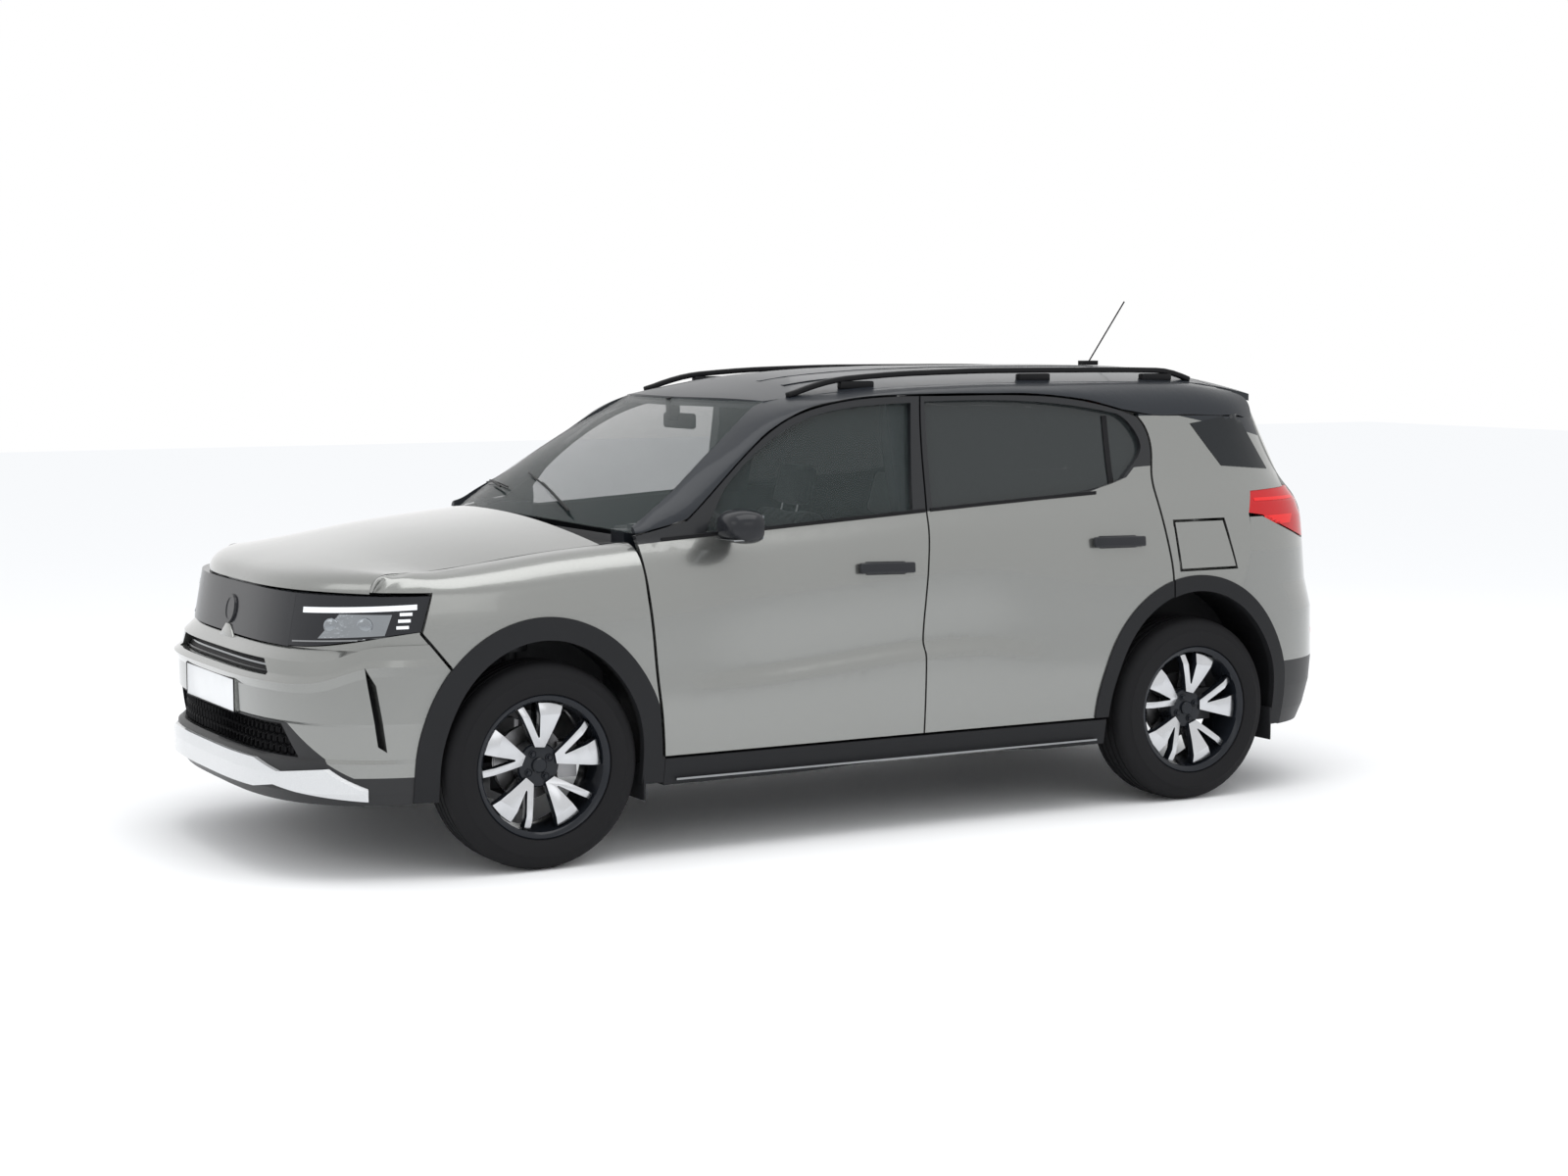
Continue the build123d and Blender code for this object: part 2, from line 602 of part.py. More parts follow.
def end_shell(heights, thickness, front=True, grow=0.0, lift=None):
    """Wrap-round wall of the nose or the tail, with a crease at each of its heights."""
    rings = []
    for height in heights:
        line = np.array(plan_line(height, front))
        along = np.gradient(line, axis=0)
        outward = np.stack([along[:, 1], -along[:, 0]], axis=1)
        outward /= np.linalg.norm(outward, axis=1, keepdims=True)
        outward *= 1 if front else -1
        rises = [lift(height, abs(y)) if lift else 0.0 for _, y in line]
        outer = [(x, y, height + up) for (x, y), up in zip(line + grow * outward, rises)]
        inner = [(x, y, height + up)
                 for (x, y), up in zip(line + (grow - thickness) * outward, rises)]
        rings.append(Wire([Spline(*outer).edge(), Line(outer[-1], inner[-1]).edge(),
                           Spline(*reversed(inner)).edge(), Line(inner[0], outer[0]).edge()]))
    return Solid.make_loft(rings, ruled=True)


BUMPER_ROWS = [250, 292, 345, 388, 402, 508, 517, 610, 640, 662, 708, 748, 840]


def ridge_lift(height, y):
    """The bumper's ridge climbs towards its ends."""
    if not 600 < height < 720:
        return 0.0
    return curve([(0, 0), (640, 0), (750, 26), (800, 56), (890, 62)], y)


LAMP_BOTTOM = [(0, 742), (500, 748), (723, 771), (850, 812)]
LAMP_TOP = [(0, 924), (500, 924), (850, 930)]


def across(points):
    """Left-side (y, z) points continued to the right side in mirror image."""
    return list(reversed(points)) + [(-y, z) for y, z in points[1:]]


PLATE_HALF = 262.0
PLATE_FRONT = FRONT - 29
PLATE_REAR = REAR + 34

AIR_CURTAIN = [[(1908, 700), (1876, 641)], [(1876, 641), (1845, 425)], [(1845, 425), (1872, 444)],
               [(1872, 444), (1900, 641)], [(1900, 641), (1908, 700)]]


def front_bumper():
    body = end_shell(BUMPER_ROWS, BUMPER_WALL, lift=ridge_lift)
    above = front_prism(across(LAMP_BOTTOM), [(-850, 812), (-850, 1000)],
                        [(-850, 1000), (850, 1000)], [(850, 1000), (850, 812)],
                        low=1200, high=2300)
    body -= above
    mouth = front_prism([(-540, 505), (540, 505)], [(540, 505), (610, 400)],
                        [(610, 400), (-610, 400)], [(-610, 400), (-540, 505)],
                        low=1900, high=2300)
    slot = front_prism([(-430, 705), (430, 705)], [(430, 705), (470, 655)],
                       [(470, 655), (-470, 655)], [(-470, 655), (-430, 705)],
                       low=1900, high=2300)
    curtain = side_prism(*AIR_CURTAIN, low=-1200)
    body -= mouth
    body -= slot
    body += box((PLATE_FRONT - 40, PLATE_FRONT), (-PLATE_HALF, PLATE_HALF), (507, 621))
    body -= curtain
    fender = side_prism([(1737, 900), (1737, 800)], [(1737, 800), (1634, 668)],
                        [(1634, 668), (1200, 668)], [(1200, 668), (1200, 900)],
                        [(1200, 900), (1737, 900)], low=-1200)
    body -= fender
    for side in (1, -1):
        body -= arch_prism(FRONT_AXLE, 440, 494, *sorted((side * 400, side * 1200)))
    return body


def grille_panel():
    """Glossy panel between the headlamps."""
    panel = end_shell([735, 930], 30)
    shape = front_prism([(-505, 749), (505, 749)], [(505, 749), (505, 920)],
                        [(505, 920), (-505, 920)], [(-505, 920), (-505, 749)], low=1900, high=2300)
    return panel & shape


def headlamps():
    panel = end_shell([735, 940], 70)
    inner = 505 + SEAT
    shape = front_prism([(inner, 753), (723, 776), (860, 818)], [(860, 818), (860, 921)],
                        [(860, 921), (inner, 920)], [(inner, 920), (inner, 753)],
                        low=1640, high=2300)
    wing = side_prism([(1694, 1000), (1694, 932)], [(1694, 932), (1733, 805)],
                      [(1733, 805), (1733, 700)], [(1733, 700), (1500, 700)],
                      [(1500, 700), (1500, 1000)], [(1500, 1000), (1694, 1000)])
    return both((panel & shape) - wing)


def lower_grille():
    """Dark panels behind the bumper's mouth, slot and air curtains."""
    panel = end_shell([370, 530], 12, grow=-BUMPER_WALL - SEAT)
    shape = front_prism([(-660, 380), (660, 380)], [(660, 380), (660, 520)],
                        [(660, 520), (-660, 520)], [(-660, 520), (-660, 380)], low=1900, high=2300)
    upper = end_shell([640, 720], 12, grow=-BUMPER_WALL - SEAT)
    high = front_prism([(-500, 646), (500, 646)], [(500, 646), (500, 714)],
                       [(500, 714), (-500, 714)], [(-500, 714), (-500, 646)], low=1900, high=2300)
    corner = end_shell([405, 715], 12, grow=-BUMPER_WALL - SEAT)
    corner &= box((1825, 1925), (-1200, 1200), (405, 715))
    return solids([panel & shape, upper & high, corner])


def skid_plate():
    """Pale guard along the foot of the front bumper."""
    plate = end_shell(BUMPER_ROWS[:4], 14 - SEAT, grow=14)
    shape = front_prism([(790, 305), (720, 372)], [(720, 372), (560, 352)], [(560, 352), (430, 384)],
                        [(430, 384), (-430, 384)], [(-430, 384), (-560, 352)],
                        [(-560, 352), (-720, 372)], [(-720, 372), (-790, 305)],
                        [(-790, 305), (-790, 266)], [(-790, 266), (-543, 308)],
                        [(-543, 308), (-430, 290)], [(-430, 290), (430, 290)],
                        [(430, 290), (543, 308)], [(543, 308), (790, 266)],
                        [(790, 266), (790, 305)], low=1900, high=2400)
    return plate & shape


def rear_bumper():
    body = end_shell([250, 310, 400, 500, 690, 745, 800, 930, 1060], BUMPER_WALL, False)
    body -= tailgate_prism(SHUT_GAP, low=REAR - 50, high=-1500)
    lamp = side_prism([(-1618 - 6, 1200), (-1618 - 6, 1060)], [(-1624, 1060), (-1690, 1060)],
                      [(-1690, 1060), (-1830, 1005), (-1960, 962)], [(-1960, 962), (-2300, 955)],
                      [(-2300, 955), (-2300, 1200)], [(-2300, 1200), (-1624, 1200)], low=-1200)
    body -= lamp
    seam = rear_seam(3)
    quarter = side_prism(seam, [seam[-1], (-1621, 1200)], [(-1621, 1200), (-1200, 1200)],
                         [(-1200, 1200), (-1200, 480)], [(-1200, 480), seam[0]], low=-1200)
    body -= quarter
    for side in (1, -1):
        body -= arch_prism(REAR_AXLE, 455, 509, *sorted((side * 400, side * 1200)))
    return body


def tail_lamps():
    """Corner lamps under the shoulder line, one each side."""
    panel = end_shell([950, 1050, 1110, 1180], 60, False)
    shape = side_prism([(-1648.4, 1156.6), (-1620.4, 1076)], [(-1620.4, 1076), (-1692, 1066)],
                       [(-1692, 1066), (-1832, 1011), (-1964, 969)], [(-1964, 969), (-2300, 962)],
                       [(-2300, 962), (-2300, 1165)], [(-2300, 1165), (-1900, 1165)],
                       [(-1900, 1165), (-1648.4, 1156.6)], low=-1200)
    return (panel & shape) - tailgate_prism(SHUT_GAP + 1, low=REAR - 50, high=-1500)


def tail_surface(low, high, half, thickness, inset=0.0, rows=36, columns=17):
    ys = np.linspace(-half, half, columns)
    zs = np.linspace(low, high, rows)
    grid = [[(end_x(y, z, False) + inset, y, z) for y in ys] for z in zs]
    return extrude(surface(grid), thickness, dir=(1, 0, 0))


REAR_GLASS = [(1195, 560), (1510, 500)]


def tailgate():
    panel = tail_surface(TAILGATE_BOTTOM - 10, 1565, 720, 60) & tailgate_prism()
    glass = REAR_GLASS
    hole = front_prism([(-glass[0][1], glass[0][0]), (glass[0][1], glass[0][0])],
                       [(glass[0][1], glass[0][0]), (glass[1][1], glass[1][0])],
                       [(glass[1][1], glass[1][0]), (-glass[1][1], glass[1][0])],
                       [(-glass[1][1], glass[1][0]), (-glass[0][1], glass[0][0])],
                       low=REAR, high=-1600)
    header = box((-1835, ROOF_REAR - 70), (-400, 400), (1524, 1552))
    plinth = box((PLATE_REAR, PLATE_REAR + 50), (-PLATE_HALF, PLATE_HALF), (800, 914))
    return ((panel - hole) + header + plinth) - roof_block(SPOILER_WALL + SEAT)


def tailgate_glass():
    return tail_surface(REAR_GLASS[0][0] - 25, REAR_GLASS[1][0] + 20, 610, GLASS, -GLASS - SEAT) \
        & front_prism([(-580, 1175), (580, 1175)], [(580, 1175), (520, 1525)],
                      [(520, 1525), (-520, 1525)], [(-520, 1525), (-580, 1175)],
                      low=REAR - 50, high=-1500)


def tailgate_axis():
    """X and Z of the tailgate's hinge axis, just under the spoiler's skin."""
    x = ROOF_REAR - TAILGATE_GAP - 40
    return x, roof_z(x, TAILGATE_HINGE_Y) - 14


SPOILER_WALL = 27.0


def roof_block(depth, height=300.0):
    """Everything behind the roof and above the roof surface lowered by a depth."""
    xs = np.linspace(-1960, ROOF_REAR - TAILGATE_GAP + 2, 9)
    ys = np.linspace(-640, 640, 11)
    lowered = surface([[(x, y, roof_z(x, y) - depth) for y in ys] for x in xs])
    return extrude(lowered, height, dir=(0, 0, 1))


def spoiler():
    """Top of the tailgate, carried on the hinge pins and reaching back over the glass."""
    edge = ROOF_REAR - TAILGATE_GAP
    shape = plan_prism([(-1845, 560), (-1868, 300), (-1872, 0), (-1868, -300), (-1845, -560)],
                       [(-1845, -560), (edge, -570)], [(edge, -570), (edge, 570)],
                       [(edge, 570), (-1845, 560)], low=1400)
    top = roof_block(SPOILER_WALL, SPOILER_WALL) & shape
    x, z = tailgate_axis()
    for y in (TAILGATE_HINGE_Y, -TAILGATE_HINGE_Y):
        top -= box((x - 11, edge + 10), (y - 14, y + 14), (z - 60, z + 10))
        top -= rod((x, y - 28, z), (x, y + 28, z), 6 + PIN_CLEARANCE)
    return top


def windscreen():
    return shell(screen_grid(0.0006), -GLASS)


def cowl_panel():
    """Dark scuttle between the bonnet and the foot of the windscreen."""
    half = 590.0
    front = [(SCREEN_BASE[0] + 56 - 150 * (abs(y) / 783) ** 2.2, y)
             for y in (half, half / 2, 0, -half / 2, -half)]
    back = DOOR_FRONT - 15
    return plan_prism(front, [front[-1], (back, -half)], [(back, -half), (back, half)],
                      [(back, half), front[0]], low=BELT - 72 + SEAT, high=BELT - 50)


# ---- Doors -----------------------------------------------------------------
def window_line(gap=0.0):
    """Front door window seen from the side: bottom, then back and over the top."""
    bottom = [(690 - gap, belt_z(690) + 8 + gap), (421, belt_z(421) + 5 + gap),
              (DOOR_SPLIT + 10 + gap, belt_z(-150) + 5 + gap)]
    top = [(DOOR_SPLIT - 38 + gap, ROOF_TOP - 122 - gap), (48, ROOF_TOP - 134 - gap),
           (214, ROOF_TOP - 163 - gap), (380, ROOF_TOP - 235 - gap),
           (590 - gap, ROOF_TOP - 398 - gap)]
    return [bottom, [bottom[-1], top[0]], top, [top[-1], bottom[0]]]


def rear_window_line(gap=0.0):
    bottom = [(DOOR_SPLIT - 72 - gap, belt_z(-230) + 5 + gap), (-426, belt_z(-426) + 5 + gap),
              (-682, belt_z(-682) + 5 + gap), (-901, belt_z(-901) + 5 + gap),
              (-1060 + gap, belt_z(-1060) + 26 + gap)]
    back = [bottom[-1], (-1135 + gap, ROOF_TOP - 345), (-1165 + gap, ROOF_TOP - 300),
            (-1150 + gap, ROOF_TOP - 240), (-1072 + gap, ROOF_TOP - 172 - gap)]
    top = [back[-1], (-906, ROOF_TOP - 144 - gap), (-694, ROOF_TOP - 123 - gap),
           (-480, ROOF_TOP - 116 - gap), (DOOR_SPLIT - 96 - gap, ROOF_TOP - 118 - gap)]
    return [bottom, back, top, [top[-1], bottom[0]]]


def door_blank(x_low, x_high, hinge_x, shape):
    """Full-size door: deep below the belt, a folded skin in front of the hinge, thin frame above."""
    blank = side_slab(x_low, x_high, 290, 1560, 260, 18) & shape
    blank -= box((x_low - 50, x_high + 50), (0, DOOR_INNER), (0, BELT + 30))
    behind_skin = Pos(0, -SKIN, 0) * side_slab(hinge_x - 40, x_high + 20, 250, 1170, 300, 6)
    blank -= behind_skin & box((hinge_x + 12, x_high + 50), (0, 1200), (0, BELT + 30))
    behind_frame = Pos(0, -FRAME_THICKNESS, 0) * side_slab(x_low - 20, x_high + 20, 1000, 1560, 300)
    blank -= behind_frame & box((x_low - 50, x_high + 50), (0, 1200), (BELT + 30, 2000))
    return blank


def hinge_pockets(door, hinge_x):
    """Room for the hinge arms and bores for their pins."""
    for z in DOOR_HINGE_HEIGHTS:
        door -= box((hinge_x - 14, hinge_x + 300), (500, HINGE_Y + 11), (z - 14, z + 14))
        door -= rod((hinge_x, HINGE_Y, z - 28), (hinge_x, HINGE_Y, z + 28), 6 + PIN_CLEARANCE)
    return door


def front_door_outline(gap=0.0):
    front = door_front_line(gap)
    top = cantrail_line(gap)[:5]
    split = split_line(-gap, DOOR_BOTTOM - gap, ROOF_TOP - 99 + gap)
    return side_prism(front, [front[-1], top[1]], top[1:] + [split[-1]], list(reversed(split)),
                      [split[0], front[0]])


def rear_door_outline(gap=0.0):
    front = split_line(gap - SHUT_GAP, DOOR_BOTTOM - gap, ROOF_TOP - 99 + gap)
    top = [front[-1]] + cantrail_line(gap)[6:] + [(REAR_DOOR_EDGE[0][0] - gap,
                                                  REAR_DOOR_EDGE[0][1] + gap)]
    back = [top[-1]] + [(x - gap, z) for x, z in REAR_DOOR_EDGE[1:-1]] + [(REAR_DOOR_BACK - gap, 833)]
    foot = (REAR_DOOR_BACK - gap, DOOR_BOTTOM - gap)
    return side_prism(front, top, back, [back[-1], foot], [foot, front[0]])


def front_door():
    blank = door_blank(DOOR_SPLIT - 90, DOOR_FRONT + 60, FRONT_HINGE_X, front_door_outline())
    blank -= side_prism(*window_line())
    blank -= door_glass(window_line(-10 - SEAT), DOOR_SPLIT - 90, 760, SEAT)
    blank -= edge_relief(split_line, -0.5, 4.5)
    return hinge_pockets(blank, FRONT_HINGE_X)


def rear_door():
    blank = door_blank(REAR_DOOR_BACK - 10, DOOR_SPLIT, REAR_HINGE_X, rear_door_outline())
    blank -= arch_prism(REAR_AXLE, 404, 461)
    blank -= side_prism(*rear_window_line())
    blank -= door_glass(rear_window_line(-10 - SEAT), -1230, DOOR_SPLIT - 20, SEAT)
    return hinge_pockets(blank, REAR_HINGE_X)


def door_glass(line, x_low, x_high, play=0.0):
    """Pane in the frame's channel, or the channel itself when it has play."""
    pane = side_slab(x_low, x_high, 1040, 1560, GLASS + 2 * play)
    return (Pos(0, play - 20, 0) * pane) & side_prism(*line)


def door_mirror():
    housing = Pos(618, 935, BELT + 22) * Rot(0, 0, -12) * Box(120, 190, 118)
    housing = fillet(housing.edges(), 34)
    foot = box((600, 700), (HALF_WIDTH - 92, 880), (BELT - 18, BELT + 2))
    return housing + foot


def hinge_arm(x, y, z, root_y, half=12):
    """Door hinge: straight arm from the pillar to the pin in the door."""
    eye = rod((x, y, z - half), (x, y, z + half), 9)
    link = box((x - 9, x + 9), (root_y, y), (z - half, z + half))
    pin = rod((x, y, z - half - 14), (x, y, z + half + 14), 6)
    return link + eye + pin


def tailgate_arm(y):
    """Swan neck from the roof's rear bow, up behind the gap to the tailgate's pin."""
    x, z = tailgate_axis()
    neck = box((x - 8, x + 8), (y - 12, y + 12), (1494, z))
    neck += box((x - 8, ROOF_REAR + 2), (y - 12, y + 12), (1494, 1508))
    return neck + rod((x, y - 12, z), (x, y + 12, z), 8) + rod((x, y - 26, z), (x, y + 26, z), 6)


BONNET_AXIS = (BONNET_REAR - 105, BELT - 50)
BONNET_HINGE_Y = 640.0


def bonnet_lug(y):
    """Ear under the bonnet's rear corner, bored for the hinge pin."""
    x, z = BONNET_AXIS
    ear = rod((x, y - 10, z), (x, y + 10, z), 14)
    ear += box((x, x + 60), (y - 10, y + 10), (z - 12, z + 6))
    ear += box((x + 30, x + 60), (y - 10, y + 10), (z, bonnet_point(x + 45, y)[2] - 8))
    return ear


def bonnet_arm(y):
    """Bracket on the bulkhead with the bonnet's hinge pin."""
    x, z = BONNET_AXIS
    side = 1 if y > 0 else -1
    near = y + side * 12
    arm = box((DOOR_FRONT + 40, x + 12), (near, near + side * 20), (z - 55, z + 12))
    return arm + rod((x, near, z), (x, y - side * 11, z), 6)


FLAP_FRONT = -1262.0
FLAP_TOP, FLAP_BOTTOM = 1052.0, 880.0
FLAP_AXIS_X = FLAP_FRONT - 60
FLAP_AXIS_Y = HALF_WIDTH - 33


def flap_bracket():
    """Two ears and a pin inside the filler bowl."""
    x, y, z = FLAP_AXIS_X, FLAP_AXIS_Y, (FLAP_TOP + FLAP_BOTTOM) / 2
    ears = [box((x - 12, x), (FLAP_BOWL_Y, y), (z + low, z + high)) + rod((x, y, z + low),
                                                                        (x, y, z + high), 7)
            for low, high in ((-30, -12), (12, 30))]
    return ears[0] + ears[1] + rod((x, y, z - 30), (x, y, z + 30), 4)


FLAP_BOWL_Y = 765.0


def hinges():
    """Hinge arms and pins of the doors, tailgate, bonnet and fuel flap."""
    arms = []
    for z in DOOR_HINGE_HEIGHTS:
        arms.append(both(hinge_arm(FRONT_HINGE_X, HINGE_Y, z, PILLAR_OUTER)))
        arms.append(both(hinge_arm(REAR_HINGE_X, HINGE_Y, z, DOOR_INNER - 10)))
    arms += [tailgate_arm(TAILGATE_HINGE_Y), tailgate_arm(-TAILGATE_HINGE_Y)]
    arms += [bonnet_arm(BONNET_HINGE_Y), bonnet_arm(-BONNET_HINGE_Y), flap_bracket()]
    return solids(arms)


# ---- Cladding and liners ---------------------------------------------------
def arch_ring(axle, outer, inner, x_low, x_high):
    slab = Pos(0, 7, 0) * side_slab(x_low, x_high, 250, 980, 30, 18)
    return (slab & arch_prism(axle, *outer)) - arch_prism(axle, *inner)


def cladding():
    """Dark guards round the wheel arches and along the sills."""
    front = arch_ring(FRONT_AXLE, (440, 494), (360, 418), FRONT_AXLE - 442, FRONT_AXLE + 442)
    rear = arch_ring(REAR_AXLE, (455, 509), (392, 449), REAR_AXLE - 456, REAR_DOOR_BACK - SHUT_GAP)
    front -= box((FRONT_AXLE - 500, FRONT_AXLE + 500), (0, 1200), (0, TYRE_RADIUS - 90))
    front -= front_door_outline(2 * SHUT_GAP)
    rear -= box((REAR_AXLE - 500, REAR_AXLE + 500), (0, 1200), (0, TYRE_RADIUS - 90))
    sill = Pos(0, 6, 0) * side_slab(REAR_AXLE + 390, FRONT_AXLE - 438, 250, 440, 90, 8)
    sill &= box((REAR_AXLE + 405, FRONT_AXLE - 442), (800 + SEAT, 1200), (245, DOOR_BOTTOM - 9))
    return [s for piece in (front, rear, sill) for s in solids(both(piece))]


def rear_door_cladding():
    """Front part of the rear arch guard, lying on the door."""
    slab = Pos(0, 7, 0) * side_slab(REAR_DOOR_BACK - 4, REAR_AXLE + 456, 250, 900, 7 - SEAT, 12)
    ring = (slab & arch_prism(REAR_AXLE, 455, 509)) - arch_prism(REAR_AXLE, 396, 453)
    return ring & box((REAR_DOOR_BACK, REAR_AXLE + 460), (0, 1200), (DOOR_BOTTOM, 1000))


def liners():
    """Inner wheel arches: half drums over each tyre."""
    pieces = []
    for axle, (reach, rise) in ((FRONT_AXLE, (412, 422)), (REAR_AXLE, (396, 453))):
        drum = arch_prism(axle, reach + 8, rise + 8, LINER_INNER, 860)
        drum -= arch_prism(axle, reach, rise, LINER_INNER - 10, 900)
        drum -= box((axle - 500, axle + 500), (0, 1200), (-200, 300))
        inside = Pos(0, -23 - SEAT, 0) * side_slab(axle - 450, axle + 450, 250, 980, 600, 12)
        drum &= inside
        if axle == REAR_AXLE:
            wall = arch_prism(axle, reach + 8, rise + 8, LINER_INNER - 8, LINER_INNER)
            drum += wall - box((axle - 500, axle + 500), (0, 1200), (-200, 420))
            drum -= box((REAR_DOOR_BACK - 20, axle + 500), (DOOR_INNER - 10, 1200), (0, 1200))
        pieces.append(drum)
    return [s for piece in pieces for s in solids(both(piece))]


LINER_INNER = 656.0


# ---- Underbody -------------------------------------------------------------
FLOOR_HALF = 690.0 - SEAT
RAIL_INNER = 395.0


def floor_pan():
    rear_floor = REAR_AXLE + 432
    floor = box((rear_floor, DOOR_FRONT - 20), (-FLOOR_HALF, FLOOR_HALF), (250, 275))
    floor += box((rear_floor, DOOR_FRONT - 20), (-130, 130), (275, 390))
    floor += box((rear_floor - 20, rear_floor), (-545, 545), (250, 495))
    floor += box((REAR + 130, rear_floor), (-545, 545), (470, 495))
    floor += box((rear_floor - 20, rear_floor), (-640, 640), (250, 345))
    floor += box((REAR + 110, REAR + 130), (-545, 545), (400, 690))
    floor += box((DOOR_FRONT - 20, DOOR_FRONT + 5), (-555, 555), (250, BELT - 72))
    for side in (1, -1):
        floor += box((REAR + 130, rear_floor), (side * 470, side * 545), (400, 470))
        floor += box((DOOR_FRONT + 5, FRONT - 190), (side * RAIL_INNER, side * 455), (450, 560))
        floor += box((DOOR_FRONT + 5, FRONT_AXLE + 500), (side * 430, side * 455), (560, 870))
        floor += box((FRONT_AXLE - 70, FRONT_AXLE + 70), (side * 455, side * 640), (840, 870))
        floor += box((DOOR_FRONT - 20, DOOR_FRONT + 5), (side * 555, side * 690),
                     (BELT - 140, BELT - 72))
        floor += box((FRONT - 185, FRONT - 50), (side * 300, side * 380), (532, 560))
    floor += box((FRONT - 220, FRONT - 180), (-455, 455), (450, 560))
    return floor


def front_subframe():
    """Cross member, lower arms, struts and their ball pins."""
    frame = box((FRONT_AXLE - 250, FRONT_AXLE + 60), (-395, 395), (225, 290))
    frame += box((FRONT_AXLE - 240, FRONT_AXLE - 180), (-394, 394), (290, 450))
    for side in (1, -1):
        y = side * KINGPIN_Y
        frame += box((FRONT_AXLE - 26, FRONT_AXLE + 26), (side * 390, y + side * 16),
                     (ARM_LOW - 14, ARM_LOW + 14))
        frame += box((FRONT_AXLE - 90, FRONT_AXLE + 26), (side * 380, side * 480),
                     (ARM_LOW - 14, 260))
        frame += rod((FRONT_AXLE, y, ARM_LOW), (FRONT_AXLE, y, ARM_LOW + 44), KINGPIN_R)
    return frame


def struts():
    pieces = []
    for side in (1, -1):
        y = side * KINGPIN_Y
        leg = rod((FRONT_AXLE, side * 590, ARM_HIGH), (FRONT_AXLE, side * 590, 840 - SEAT), 27)
        leg += rod((FRONT_AXLE, side * 590, 700), (FRONT_AXLE, side * 590, 830), 62)
        leg += box((FRONT_AXLE - 24, FRONT_AXLE + 24), (side * 590, y + side * 16),
                   (ARM_HIGH - 13, ARM_HIGH + 13))
        leg += rod((FRONT_AXLE, y, ARM_HIGH - 44), (FRONT_AXLE, y, ARM_HIGH), KINGPIN_R)
        pieces.append(leg)
    return pieces


KINGPIN_Y = 700.0
KINGPIN_R = 9.0
ARM_LOW = 198.0
ARM_HIGH = 500.0
AXLE_R = 15.0
DISC_BACK = 48.0            # faces of the brake disc, inboard of the wheel's middle
DISC_FRONT = 26.0
DISC_R = 124.0


def knuckle():
    """Left steering knuckle with its stub axle and brake caliper."""
    x, z = FRONT_AXLE, TYRE_RADIUS
    upright = box((x - 24, x + 24), (KINGPIN_Y - 16, KINGPIN_Y + 16),
                  (ARM_LOW + 18, ARM_HIGH - 17))
    upright -= rod((x, KINGPIN_Y, ARM_LOW), (x, KINGPIN_Y, ARM_LOW + 50), KINGPIN_R + PIN_CLEARANCE)
    upright -= rod((x, KINGPIN_Y, ARM_HIGH - 50), (x, KINGPIN_Y, ARM_HIGH),
                   KINGPIN_R + PIN_CLEARANCE)
    upright += rod((x, KINGPIN_Y, z), (x, KINGPIN_Y + 22, z), 45)
    upright += rod((x, KINGPIN_Y, z), (x, WHEEL_Y + 20, z), AXLE_R)
    return upright + caliper(x)


def caliper(x):
    """Saddle over the brake disc, behind the hub."""
    z = TYRE_RADIUS
    arm = box((x - 150, x - 15), (KINGPIN_Y - 10, KINGPIN_Y + 10), (z - 30, z + 30))
    saddle = box((x - 165, x - 95), (KINGPIN_Y - 10, WHEEL_Y - DISC_FRONT + 14), (z - 60, z + 60))
    disc_room = rod((x, WHEEL_Y - DISC_BACK - 5, z), (x, WHEEL_Y - DISC_FRONT + 5, z), DISC_R + 6)
    return arm + (saddle - disc_room)


def rear_axle():
    """Twist beam with trailing arms, stub axles and calipers."""
    x, z = REAR_AXLE, TYRE_RADIUS
    beam = box((x + 190, x + 270), (-560, 560), (255, 335))
    for side in (1, -1):
        beam += box((x - 40, x + 412 - SEAT), (side * 560, side * 620), (265, 325))
        beam += box((x - 40, x + 40), (side * 560, side * (KINGPIN_Y + 10)), (z - 45, z + 45))
        beam += rod((x, side * KINGPIN_Y, z), (x, side * (KINGPIN_Y + 22), z), 45)
        beam += rod((x, side * KINGPIN_Y, z), (x, side * (WHEEL_Y + 20), z), AXLE_R)
        beam += rod((x + 60, side * 500, 300), (x + 60, side * 500, 400 - SEAT), 50)
        beam += box((x + 10, x + 200), (side * 460, side * 570), (285, 305))
        piece = caliper(x)
        beam += piece if side == 1 else mirror(piece, about=Plane.XZ)
    return beam


PIPE_R = 28.0


def exhaust():
    low = 250 - PIPE_R - SEAT
    under = (REAR_AXLE + 120, 0, low)
    rise = (REAR_AXLE - 180, 0, 385)
    pipe = rod((FRONT_AXLE - 300, 0, low), under, PIPE_R) + Pos(*under) * Sphere(PIPE_R)
    pipe += rod(under, rise, PIPE_R) + Pos(*rise) * Sphere(PIPE_R)
    pipe += rod(rise, (REAR_AXLE - 300, 0, 385), PIPE_R)
    silencer = box((REAR_AXLE - 560, REAR_AXLE - 270), (-330, 330), (300, 470 - SEAT))
    silencer = fillet(silencer.edges().filter_by(Axis.Y), 55)
    tail = rod((REAR_AXLE - 540, 250, 350), (REAR + 75, 250, 330), 24)
    return pipe + silencer + tail


